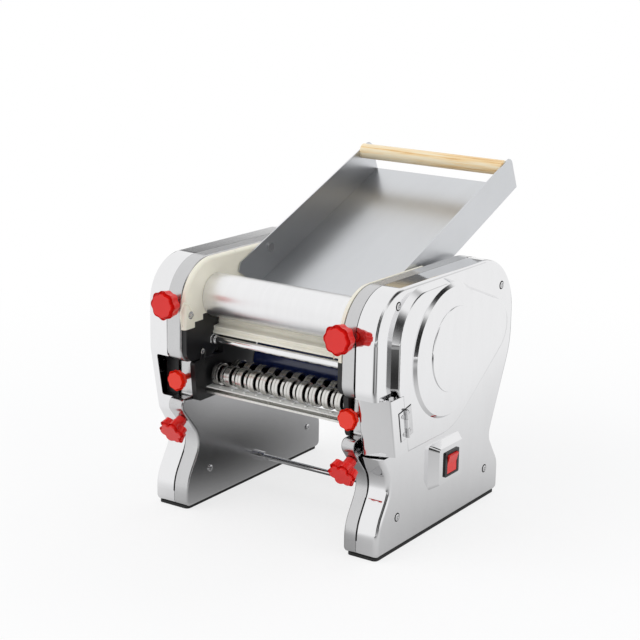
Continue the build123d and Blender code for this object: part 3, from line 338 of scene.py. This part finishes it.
def piece(name, sheets, body, slot, stands_for=(), sharp=30.0, material=None):
    """One object made of one or more (vertices, quads) sheets that rides on a CAD body."""
    starts = np.cumsum([0] + [len(points) for points, quads in sheets[:-1]])
    points = np.concatenate([points for points, quads in sheets])
    quads = np.concatenate([quads + start for (_, quads), start in zip(sheets, starts)])
    mesh = bpy.data.meshes.new(name)
    mesh.from_pydata(to_frame(points).tolist(), [], quads.tolist())
    mesh.validate()
    mesh.polygons.foreach_set("use_smooth", np.ones(len(mesh.polygons), bool))
    mesh.set_sharp_from_angle(angle=math.radians(sharp))
    mesh.materials.append(material or MATERIALS[slot])
    made = bpy.data.objects.new(name, mesh)
    bpy.context.scene.collection.objects.link(made)
    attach(made, body)
    if stands_for:
        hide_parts(*stands_for)
    return made


def rounded_path(corners, steps=8, closed=False):
    """Polyline through (u, v, radius) corners, each rounded by an arc.

    At a corner the arc leaves the two sides at radius / tan(half the corner's angle) and
    is swept about its centre by the turn between the sides' normals.
    """
    path = []
    count = len(corners)
    for i, (u, v, radius) in enumerate(corners):
        here = np.array((u, v), float)
        if radius <= 0 or (not closed and i in (0, count - 1)):
            path.append(here[None])
            continue
        back = np.array(corners[i - 1][:2], float) - here
        ahead = np.array(corners[(i + 1) % count][:2], float) - here
        back, ahead = back / np.linalg.norm(back), ahead / np.linalg.norm(ahead)
        half = math.acos(np.clip(back @ ahead, -1, 1)) / 2
        middle = (back + ahead) / np.linalg.norm(back + ahead)
        centre = here + middle * radius / math.sin(half)
        start = here + back * radius / math.tan(half) - centre
        side = np.array((-start[1], start[0]))
        way = np.sign(side @ ahead)
        turn = np.linspace(0, math.pi - 2 * half, steps + 1)[:, None]
        path.append(centre + start * np.cos(turn) + side * way * np.sin(turn))
    return np.concatenate(path)


def frame_of(axis):
    """Two unit vectors square to an axis and to each other."""
    axis = np.array(axis, float) / np.linalg.norm(axis)
    first = np.cross(axis, (0, 0, 1) if abs(axis[2]) < 0.9 else (1, 0, 0))
    first /= np.linalg.norm(first)
    return axis, first, np.cross(axis, first)


def spun(profile, origin, axis, segments=96, lobes=None):
    """Surface of revolution of (radius, height) rows about an axis.

    lobes, if given, takes the angles and the radii, and returns a factor on the radius.
    """
    axis, first, second = frame_of(axis)
    angle = np.linspace(0, 2 * math.pi, segments, endpoint=False)
    radius = np.repeat(profile[:, :1], segments, 1)
    if lobes is not None:
        radius = radius * lobes(angle[None], profile[:, :1])
    ring = np.cos(angle)[:, None] * first + np.sin(angle)[:, None] * second
    rise = profile[:, 1, None, None] * axis
    points = np.array(origin, float) + radius[..., None] * ring[None] + rise
    return sheet(points, close_columns=True)


def outward(path):
    """Unit normals of a closed (y, z) outline, each square to the line between its neighbours."""
    ahead = np.roll(path, -1, 0) - np.roll(path, 1, 0)
    normal = np.stack((ahead[:, 1], -ahead[:, 0]), 1)
    normal /= np.linalg.norm(normal, axis=1)[:, None] + 1e-12
    area = np.sum(path[:, 0] * np.roll(path[:, 1], -1) - np.roll(path[:, 0], -1) * path[:, 1])
    return normal * np.sign(area)


def capped(path, x_from, x_to, bevel=0.25, steps=3):
    """Closed bar with a (y, z) outline along X.

    Its end edges are rounded, and its end faces are fans round their middles. At a turn t
    from 0 to a right angle the outline is drawn in by bevel (1 - sin t) and stands
    bevel (1 - cos t) from the end.
    """
    turn = np.linspace(0, math.pi / 2, steps)
    way = np.sign(x_to - x_from)
    inset = bevel * np.concatenate((1 - np.sin(turn), 1 - np.cos(turn)))
    start, end = x_from + way * bevel * (1 - np.cos(turn)), x_to - way * bevel * (1 - np.sin(turn))
    along = np.concatenate((start, end))
    rows = path[None] - inset[:, None, None] * outward(path)
    x = np.repeat(along[:, None], len(path), 1)
    rows = np.concatenate((x[..., None], rows), 2)
    ends = np.repeat(rows.mean(1, keepdims=True), len(path), 1)
    return sheet(np.concatenate((ends[:1], rows, ends[-1:])), close_columns=True)


# ---------------------------------------------------------------- knobs
def knob(name, node, slot, origin, axis, radius, depth, stem, hub, waves):
    """Moulded knob with a plain face: lobes fade out from its rim to a round hub behind.

    waves takes the angles and returns the rim's radius as a share of the full radius; rows
    nearer the middle than 0.55 of it stay round, and those between blend as 3 t^2 - 2 t^3.
    """
    profile = rounded_path(
        [
            (stem[0], -stem[1], 0),
            (stem[0], -hub[1], 0),
            (hub[0], -hub[1], 1.0),
            (hub[0], 0, 1.5),
            (radius, 0, 2.2),
            (radius, depth, 3.2),
            (radius * 0.80, depth, 0),
            (radius * 0.55, depth, 0),
            (0.05, depth, 0),
        ],
        8,
    )

    def lobes(angle, rows):
        rim = np.clip((rows / radius - 0.55) / 0.3, 0, 1)
        return 1 + (waves(angle) - 1) * rim * rim * (3 - 2 * rim)

    body = BODY_OF[node]
    return piece(name, [spun(profile, origin, axis, 240, lobes)], body, slot, (node,), 40)


def flutes(count, cut):
    """Rim of a fluted knob at angle a: 1 - cut ((1 - cos(count a)) / 2)^1.3."""

    def rim(angle):
        return 1 - cut * (0.5 - 0.5 * np.cos(count * angle)) ** 1.3

    return rim


def star(count, lobe, core):
    """Rim of a star knob: circles of radius lobe whose outer edge is at 1, round a core.

    Along an angle a from a lobe's middle the circle ends at c cos a + sqrt(lobe^2 -
    c^2 sin^2 a) with c = 1 - lobe; it and the core are joined by a smooth maximum, the
    logarithm of the sum of e^(26 value), over 26.
    """

    def rim(angle):
        a = (angle * count / (2 * math.pi) + 0.5) % 1.0 - 0.5
        a = a * 2 * math.pi / count
        c = 1 - lobe
        room = np.sqrt(np.clip(lobe**2 - (c * np.sin(a)) ** 2, 0, None))
        out = np.where(np.abs(c * np.sin(a)) < lobe, c * np.cos(a) + room, 0)
        return np.log(np.exp(26 * out) + math.exp(26 * core)) / 26

    return rim


LOW_TILT = math.radians(30)
LOW_AXIS = np.array((0, -math.cos(LOW_TILT), -math.sin(LOW_TILT)))
LOW_START = (-99.63, 131.14)  # (y, z) on the low knobs' axis
LOW_REACH = 16.5  # from there to the back of their lobes
SIDES = ((-1, "left"), (1, "right"))
for side, word in SIDES:
    knob(
        f"top_knob_{word}_moulding", f"top_knob_{word}", "red_plastic",
        origin=(side * KNOB_X, -125.8, 297), axis=(0, -1, 0), radius=20.0, depth=17.0,
        stem=(5.2, 6.0), hub=(9.0, 5.5), waves=flutes(8, 0.085),
    )
    knob(
        f"mid_knob_{word}_moulding", f"mid_knob_{word}", "orange_plastic",
        origin=(side * KNOB_X, -105.4, 187.8), axis=(0, -1, 0), radius=14.8, depth=10.5,
        stem=(4.0, 24.0), hub=(7.5, 4.8), waves=flutes(8, 0.085),
    )
    knob(
        f"low_knob_{word}_moulding", f"low_knob_{word}", "red_plastic",
        origin=np.array((side * KNOB_X, *LOW_START)) + LOW_REACH * LOW_AXIS, axis=LOW_AXIS,
        radius=20.5, depth=14.0, stem=(4.0, 22.0), hub=(8.4, 14.3),
        waves=star(6, 6.5 / 20.5, 15.0 / 20.5),
    )


# ---------------------------------------------------------------- cutters
def cutter(name, node, centre, rings, width, narrow):
    """Cutter roller: sharp-edged rings with a fine parting line, on a root painted near black.

    With narrow, a lower ring stands halfway between each two of them. Below a radius,
    sqrt((y - cy)^2 + (z - cz)^2) about the roller's axis, the steel is painted near black as
    shade between the rings.
    """
    stub, root, rim, narrow_rim, narrow_half = 5.0, 8.0, 15.0, 12.8, 2.1
    rows = [(stub, -126.0), (stub, -118.0), (root, -118.0)]
    for x in rings:
        left, right = x - width / 2, x + width / 2
        if narrow and x > rings[0]:
            near, far = x - RING_PITCH / 2 - narrow_half, x - RING_PITCH / 2 + narrow_half
            rows += [(root, near), (root, near), (narrow_rim - 0.4, near), (narrow_rim, near + 0.4)]
            rows += [(narrow_rim, far - 0.4), (narrow_rim - 0.4, far), (root, far), (root, far)]
        rows += [(root, left), (root, left), (rim - 0.5, left), (rim, left + 0.5), (rim, x - 0.5)]
        rows += [(rim - 0.7, x - 0.15), (rim - 0.7, x + 0.15)]
        rows += [(rim, x + 0.5), (rim, right - 0.5), (rim - 0.5, right), (root, right), (root, right)]
    rows += [(root, 118.0), (stub, 118.0), (stub, 126.0)]
    made = spun(np.array(rows), (0, *centre), (1, 0, 0), 96)
    s = Shader(name + "_steel", Metallic=1.0)
    grain = s.noise(160.0, (1, 0.05, 0.05), 5.0, 0.65)
    _, centre_y, centre_z = to_frame((0, *centre)).tolist()
    _, y, z = s.split(s.place())
    radius = ((y - centre_y) ** 2 + (z - centre_z) ** 2) ** 0.5
    bright = s.colours(grain, (0.3, (0.60, 0.59, 0.57)), (0.7, (0.78, 0.77, 0.74)))
    # Near-black painted shade between the rings, laid on the steel below the rings' rims.
    gap_shade = s.colours(grain, (0.3, (0.012, 0.012, 0.012)), (0.7, (0.03, 0.03, 0.03)))
    s.drive(
        Base_Color=s.mixed(s.ramp(radius, 0.0112, 0.0124), gap_shade, bright),
        Roughness=0.26 + (grain - 0.5) * 0.12,
        Normal=s.bump(grain, 0.05, 0.0001),
    )
    return piece(name, [made], BODY_OF[node], "cutter_steel", (node,), 30, s.material)


FRONT_RINGS = [(i - 5.5) * RING_PITCH for i in range(12)]
REAR_RINGS = [x + RING_PITCH / 2 for x in FRONT_RINGS[:-1]]
cutter("front_cutter_rings", "front_cutter", CUTTER_AXES[0], FRONT_RINGS, 9.4, True)
cutter("rear_cutter_rings", "rear_cutter", CUTTER_AXES[1], REAR_RINGS, 10.0, False)


def bars(outline, places, width, radius=0.3):
    """Row of equal bars with one (y, z) outline along X, centred on each place."""
    path = rounded_path([(*corner, radius) for corner in outline], 3, True)
    return [capped(path, x - width / 2, x + width / 2) for x in places]


comb_bar = bars([(-70, 171), (-70, 173), (-56.6, 173), (-56.6, 171)], [0], 239.0)
comb_tines = bars([(-66, 172.6), (-64.5, 174), (-60, 174), (-57.5, 172.6)], REAR_RINGS, 3.6)
piece("front_comb_bar", comb_bar + comb_tines, "housing", "white_plastic", ("front_comb",))


# ---------------------------------------------------------------- fasteners
def head(origin, axis, radius, height, recess="cross", turn=0.4, rows=22, segments=72):
    """Screw head or nut as one polar sheet: height = h (1 - 0.45 (r/R)^4) less its recess.

    A recess line is the smooth step 1 / (1 + e^(9 (|d| - w) / w)) of the distance d from a
    line through the middle, w being 0.13 of the radius. A cross takes the larger of two such
    lines at right angles, faded out at 0.62 of the radius, a slot takes one, and a nut has
    the hexagonal outline cos 30 / cos a, with a in each sixth from -30 to 30 degrees.
    """
    axis, first, second = frame_of(axis)
    angle = np.linspace(0, 2 * math.pi, segments, endpoint=False)[None]
    share = np.concatenate((np.linspace(0.02, 0.93, rows - 4), (0.97, 1.0, 1.0, 1.0)))[:, None]
    edge = 1.0
    if recess == "hex":
        sector = (angle + math.pi / 6) % (math.pi / 3) - math.pi / 6
        edge = math.cos(math.pi / 6) / np.cos(sector)
    r = radius * share * edge
    width = radius * 0.13

    def line(distance):
        return 1 / (1 + np.exp((np.abs(distance) - width) * 9 / width))

    rise = height * (1 - 0.45 * share**4) * np.ones_like(angle)
    one, other = line(r * np.cos(angle + turn)), line(r * np.sin(angle + turn))
    if recess == "cross":
        reach = 1 / (1 + np.exp((r - radius * 0.62) * 18 / radius))
        rise = rise - 0.75 * height * np.maximum(one, other) * reach
    elif recess == "slot":
        rise = rise - 0.6 * height * one
    elif recess == "hex":
        rise = height * np.where(share > 0.95, 0.86, 1.0) * np.ones_like(angle)
    rise[-2:] = np.array((0.4 * height, 0.0))[:, None]
    ring = np.cos(angle)[..., None] * first + np.sin(angle)[..., None] * second
    points = np.array(origin, float) + r[..., None] * ring + rise[..., None] * axis
    return sheet(points, close_columns=True)


def along_hinge(across, along, rise=0.0):
    """Point over the hinge's leaves: across from the barrel, along it, and above their faces."""
    lean = math.atan(HINGE_SLOPE)
    y = HINGE_Y + across * math.cos(lean) - along * math.sin(lean)
    return PAD_X + LEAF + rise, y, HINGE_Z + across * math.sin(lean) + along * math.cos(lean)


# Outlines of the housings as (y, z, radius) corners, from the top of the front round the back.
LEG = (
    (244.5, 346, 85), (244.5, 214, 110), (190.5, 91.6, 20), (219.5, 48, 30), (219.5, 4, 8),
    (-102, 4, 8), (-102, 40.7, 62), (-69.6, 94.6, 34),
)
SHELL_OUTLINE = (
    (-113, 351.5, 62), *LEG, (-112.5, 146.8, 12), (-112.5, 161, 9),
    (-87, 161, 3), (-87, 211, 3), (-115, 211, 22),
)
COVER_OUTLINE = ((-113, 351.5, 62), *LEG, (-96.5, 137.5, 15), (-113, 226, 40))


def even(path, step):
    """Closed polyline resampled at equal steps of its length."""
    ring = np.concatenate((path, path[:1]))
    length = np.concatenate(((0,), np.cumsum(np.linalg.norm(np.diff(ring, axis=0), axis=1))))
    at = np.linspace(0, length[-1], int(length[-1] / step), endpoint=False)
    return np.stack((np.interp(at, length, ring[:, 0]), np.interp(at, length, ring[:, 1])), 1)


def seam_shadow(x_from, x_to, low, high):
    """Near-black strip of painted shadow in the joint round a cover's rim; its front is left open
    between two heights.
    """
    path = even(rounded_path(COVER_OUTLINE, 12, True), 1.5)
    ring = path + outward(path) * 0.12
    x = np.repeat(np.array((x_from, x_to))[:, None], len(path), 1)
    rows = np.concatenate((x[..., None], np.repeat(ring[None], 2, 0)), 2)
    points, quads = sheet(rows, close_columns=True)
    middle = points[quads].mean(1)
    kept = ~((middle[:, 1] < -60) & (middle[:, 2] > low) & (middle[:, 2] < high))
    return points, quads[kept]


# Painted shadow strips in the joints as (name, x, way outward, and the heights between which the
# front is open).
SEAM_SHADOWS = (("right_seam", SHELL_X, 1, 135, 218), ("left_seam", -LEFT_SHELL_X, -1, 157, 221))
INNER_EDGE, OUTER_EDGE = -0.6, 1.7  # the shadow strip's edges, outward from the joint
# Near-black matte material for painted shadow: in the joints, round screw heads and under hinge
# leaves.
painted_shadow = rough_metal("joint_shadow", (0.004, 0.004, 0.004), 0.9, 0.0)
for name, x, way, low, high in SEAM_SHADOWS:
    strip = seam_shadow(x + way * INNER_EDGE, x + way * OUTER_EDGE, low, high)
    piece(name, [strip], "housing", "rubber_black", material=painted_shadow)

COVER_SCREWS = ((-65, 331), (206, 305), (-54, 48), (178, 46))
# Near-black rings round the cover screws' heads: painted shadow at their edges.
SHADOW_RIM = np.array(((4.2, 0.05), (4.2, 0.25), (5.7, 0.25), (6.0, 0.05)))
heads, shadow_rims = [], []
for x, way in ((RIGHT_X, 1), (-LEFT_X, -1)):
    heads += [head((x, y, z), (way, 0, 0), 4.5, 1.2) for y, z in COVER_SCREWS]
    shadow_rims += [spun(SHADOW_RIM, (x, y, z), (way, 0, 0), 64) for y, z in COVER_SCREWS]
piece("cover_screw_heads", heads, "housing", "screw_steel", ("cover_screws",))
piece("cover_screw_shadow_rims", shadow_rims, "housing", "screw_steel", material=painted_shadow)

# Painted shadow lines under a hinge leaf's ends and outer edge, as ranges across and along it.
LEAF_SHADOWS = (
    ((0.4, 15.3), (-20.5, -19.4)),
    ((0.4, 15.3), (19.4, 20.5)),
    ((14.2, 15.3), (-20.5, 20.5)),
)
RIVETS = (-12.5, 12.5)  # places along the leaf
for way, body, name in ((1, "housing", "hinge_screws"), (-1, "door", "door_leaf_screws")):
    places = [along_hinge(way * 7.3, along) for along in RIVETS]
    rivets = [head(place, (1, 0, 0), 2.7, 1.0, turn=0.9) for place in places]
    piece(name, rivets, body, "screw_steel")
    shadow_strips = []
    for across, along in LEAF_SHADOWS:
        strip = [[along_hinge(way * u, v, -0.85) for u in across] for v in along]
        shadow_strips.append(sheet(np.array(strip)))
    piece(name + "_shadow_line", shadow_strips, body, "screw_steel", material=painted_shadow)


def ridge(side):
    """Half-round bead on a roller guard, 9.5 in from the housing's front edge.

    At a turn t from -90 to 90 degrees it lies 9.5 + 1.7 sin t inward and stands 1.1 cos t
    proud; the height fades over six steps at both ends.
    """
    path = even(rounded_path(SHELL_OUTLINE, 12, True), 1.5)
    inward = -outward(path)
    kept = (path[:, 0] < 10) & (path[:, 1] > 268)
    start = int(np.argmax(kept & ~np.roll(kept, 1)))
    count = int(kept.sum())
    path, inward = np.roll(path, -start, 0)[:count], np.roll(inward, -start, 0)[:count]
    turn = np.linspace(-math.pi / 2, math.pi / 2, 9)
    fade = np.minimum(1, np.minimum(np.arange(count), np.arange(count)[::-1]) / 6)[:, None]
    line = path[:, None] + inward[:, None] * (9.5 + 1.7 * np.sin(turn))[None, :, None]
    x = side * (GUARD_X - 1.1 * np.cos(turn)[None] * fade - 0.02)
    return sheet(np.concatenate((x[..., None], line), 2))


COLLAR = ((6.6, 0, 0), (6.6, 4.5, 1), (5.0, 6.0, 0.5), (5.0, 6.2, 0))
TAB = ((-86, 204, 3), (-71, 204, 3), (-71, 231, 7), (-86, 231, 7))
TAB_PLATE = 1.6
HOUSING_SCREWS = ((-52.1, 47.3), (184.8, 42.3))  # (y, z) on the housings' inner faces
for side, word in SIDES:
    piece(f"guard_bead_{word}", [ridge(side)], "housing", "cream_plastic")
    inward = (-side, 0, 0)
    screws = [head((side * HALF, y, z), inward, 4.6, 2.2) for y, z in HOUSING_SCREWS]
    screws.append(head((side * GUARD_X, -101.5, 278.7), inward, 5.2, 1.4, "slot", 1.1))
    piece(f"housing_screws_{word}", screws, "housing", "screw_steel")
    nut = head((side * GUARD_X, BAR_Y, BAR_Z), inward, 8.2, 3.6, "hex")
    collar = spun(rounded_path(COLLAR, 4), (side * (GUARD_X - 3.6), BAR_Y, BAR_Z), inward, 64)
    piece(f"guide_bar_nut_{word}", [nut, collar], "housing", "screw_steel")
    tab_face = side * (GUARD_X - TAB_PLATE)
    tab = capped(rounded_path(TAB, 6, True), side * (GUARD_X - 0.01), tab_face, 0.5)
    piece(f"latch_tab_{word}", [tab], "housing", "black_plastic")
    tab_screw = head((tab_face, -79, 224), inward, 3.8, 1.6)
    piece(f"latch_screw_{word}", [tab_screw], "housing", "screw_steel")

# Outline of the scraper with its ribs, as (y, z) corners from its top down its front.
SCRAPER = (
    (-38, 267.8), (-39.8, 265.2), (-38.4, 264.4), (-41, 261.5), (-39.6, 260.2), (-41, 258.9),
    (-41, 255.4), (-43.2, 253.9), (-45.2, 255.0), (-47.4, 253.7), (-49.4, 254.6), (-52, 253.5),
    (-52, 251.6), (-50.6, 250.6), (-52.2, 249.2), (-50.8, 247.9), (-54, 246.5), (-54, 243.5),
    (-35, 243.5), (-29, 256), (-34, 262),
)
ribs = bars(SCRAPER, [0], 2 * GUARD_X, 0.35)
# Lighter copy of the cream plastic: painted light that offsets the shade the roller casts on the
# scraper.
lightened_cream = plastic("scraper_cream_lightened", (0.99, 0.96, 0.84), 0.30, 0.25, 0.1, 0.05)
piece("ribbed_scraper", ribs, "housing", "cream_plastic", ("front_scraper",), material=lightened_cream)

# Rounding of the CAD pieces' sharp edges, in millimetres.
EDGED = {
    "tray_pan": 0.5,
    "gear_door": 0.4,
    "outer_cover_left": 0.5,
    "chute_rail": 0.3,
    "switch_bezel": 0.5,
    "rocker": 0.4,
}
for name, width in EDGED.items():
    modifiers = NODES[name].modifiers
    edge = modifiers.new("edge", "BEVEL")
    edge.width = width * 0.001
    edge.segments = 2
    edge.limit_method = "ANGLE"
    edge.angle_limit = math.radians(50)
    modifiers.move(len(modifiers) - 1, 0)


# ---------------------------------------------------------------- light and camera
TARGET = (0, 0, 0.2)  # lamps and cards face this point, in metres


def link(made):
    """Puts an object in the scene."""
    bpy.context.scene.collection.objects.link(made)


def softbox(name, centre, size, power):
    """Soft lamp that faces the machine; mirror finishes show the white room in its place."""
    lamp = bpy.data.lights.new(name, "AREA")
    lamp.shape = "RECTANGLE"
    lamp.size, lamp.size_y = size
    lamp.energy = power
    made = bpy.data.objects.new(name, lamp)
    made.location = centre
    made.rotation_mode = "QUATERNION"
    made.rotation_quaternion = (Vector(TARGET) - Vector(centre)).to_track_quat("-Z", "Y")
    made.visible_glossy = False
    link(made)


def flag(name, centre, size, shade=0.02, aim=None):
    """Dark card that only mirror finishes show, with soft edges.

    Its opacity is e^-(u^4 + v^4), with u and v from its middle in halves of its width and
    height. The sheet reaches one and a half times as far, where nothing of it is left.
    """
    centre = Vector(centre)
    turn = (Vector(aim or TARGET) - centre).to_track_quat("-Z", "Y")
    u, v = size[0] * 0.75, size[1] * 0.75
    corners = [turn @ Vector((x, y, 0)) + centre for x, y in ((-u, -v), (u, -v), (u, v), (-u, v))]
    mesh = bpy.data.meshes.new(name)
    mesh.from_pydata([tuple(c) for c in corners], [], [(0, 1, 2, 3)])
    s = Shader(name, Roughness=0.9)
    place = s.split(s.place())
    total = 0.0
    for way, length in (((1, 0, 0), size[0]), ((0, 1, 0), size[1])):
        along = turn @ Vector(way) * (2 / length)
        total = total + sum((part - c) * a for part, c, a in zip(place, centre, along)) ** 4
    patch = s.colours(s.noise(3.0), (0.4, grey(shade * 0.97)), (0.6, grey(shade)))
    s.drive(Base_Color=patch, Alpha=total.fall())
    mesh.materials.append(s.material)
    made = bpy.data.objects.new(name, mesh)
    made.visible_shadow = False
    made.visible_camera = False
    made.visible_diffuse = False
    link(made)


def shown(nodes):
    """1 for rays that come from the camera, a mirror finish or glass, else 0."""
    kinds = ("Camera", "Glossy", "Transmission")
    return sum(nodes.node("LightPath", f"Is {kind} Ray") for kind in kinds).over(0.5)


def room():
    """White room: it lights the machine at a plain level and looks white itself."""
    world = bpy.data.worlds.new("studio")
    bpy.context.scene.world = world
    world.use_nodes = True
    world.node_tree.nodes.clear()
    nodes = Nodes(world.node_tree)
    plain = nodes.node("Background", Color=(0.97, 0.98, 1.0, 1), Strength=0.68)
    white = nodes.node("Background", Color=(1, 1, 1, 1))
    nodes.add("OutputWorld", values={"Surface": nodes.blend(shown(nodes), plain, white)})


# Dim patches of the floor that only mirror finishes show, as (centre), (radii) and depth.
FLOOR_POOLS = (
    ((0.43, -0.92), (0.30, 0.60), 0.97),
    ((0.95, -1.85), (0.50, 0.80), 0.97),
    ((1.00, -0.40), (0.45, 0.22), 0.92),
    ((1.75, -0.85), (0.70, 0.45), 0.95),
    ((0.27, 1.00), (0.13, 0.45), 0.95),
    ((0.00, -0.02), (0.21, 0.34), 0.98),
    ((0.33, 0.02), (0.20, 0.36), 0.15),
)
FLOOR_HALF = 24.0
SHADOW_SHARE = 0.28  # of the floor's look near the machine, which keeps its shadow


def floor():
    """White floor that keeps the machine's shadow near it.

    A pool at (px, py) with radii (rx, ry) dims a mirrored view of it by the factor
    1 - depth e^-(((x - px) / rx)^2 + ((y - py) / ry)^2).
    """
    span = np.linspace(-FLOOR_HALF, FLOOR_HALF, 25)
    across, along = np.meshgrid(span, span, indexing="ij")
    points, quads = sheet(np.stack((across, along, np.zeros_like(across)), -1))
    mesh = bpy.data.meshes.new("floor")
    mesh.from_pydata(points.tolist(), [], quads.tolist())
    s = Shader("floor", Roughness=0.6, Specular_IOR_Level=0.1)
    s.drive(Base_Color=s.colours(s.noise(1.5), (0.3, grey(0.97)), (0.7, grey(0.99))))
    x, y, _ = s.split(s.place())
    bright = 1.0
    for (px, py), (rx, ry), depth in FLOOR_POOLS:
        away = ((x - px) * (1 / rx)) ** 2 + ((y - py) * (1 / ry)) ** 2
        bright = (1 - away.fall() * depth) * bright
    bright = bright + (1 - bright) * s.node("LightPath", "Is Camera Ray")
    near = 1 - s.ramp((x * x + y * y) ** 0.5, 0.35, 1.3)
    share = shown(s) * (1 - bright * near * SHADOW_SHARE)
    lit = Value(s.tree, s.surface.outputs[0])
    white = s.node("Emission", Color=bright)
    s.set(s.tree.nodes["Material Output"], {"Surface": s.blend(share, lit, white)})
    mesh.materials.append(s.material)
    made = bpy.data.objects.new("floor", mesh)
    link(made)


def camera():
    """Camera at the front right, a little above: azimuth, elevation and roll in degrees."""
    azimuth, elevation, roll = (math.radians(a) for a in (34.01, 15.2, 0.89))
    level = math.cos(elevation)
    ahead = Vector((-math.sin(azimuth) * level, math.cos(azimuth) * level, -math.sin(elevation)))
    right = Vector((math.cos(azimuth), math.sin(azimuth), 0))
    up = right.cross(ahead)
    cosine, sine = math.cos(roll), math.sin(roll)
    right, up = right * cosine + up * sine, up * cosine - right * sine
    data = bpy.data.cameras.new("camera")
    data.lens = 93.078
    data.sensor_width = 36.0
    data.clip_end = 100
    made = bpy.data.objects.new("camera", data)
    turn = Matrix((right, up, -ahead)).transposed().to_4x4()
    made.matrix_world = Matrix.Translation(Vector(to_frame((1206.43, -1761.64, 850.48)))) @ turn
    link(made)
    bpy.context.scene.camera = made


bpy.context.scene.view_settings.view_transform = "Standard"
room()
floor()
camera()
softbox("key_softbox", (-1.4, -1.7, 2.6), (2.4, 2.0), 27)
softbox("rear_softbox", (0.6, 2.5, 2.3), (2.6, 1.6), 17)
softbox("side_softbox", (2.8, 0.4, 1.4), (1.8, 1.6), 12)
flag("camera_side_flag", (1.55, -2.5, 1.5), (1.5, 4.2))
flag("front_right_flag", (2.6, -1.5, 1.0), (1.7, 3.4))
flag("rear_flag", (-1.6, 2.6, 1.15), (2.8, 0.5), shade=0.10)
flag("right_flag", (1.4, 1.25, 2.3), (2.7, 2.1), aim=(0, 0.2, 0.4))
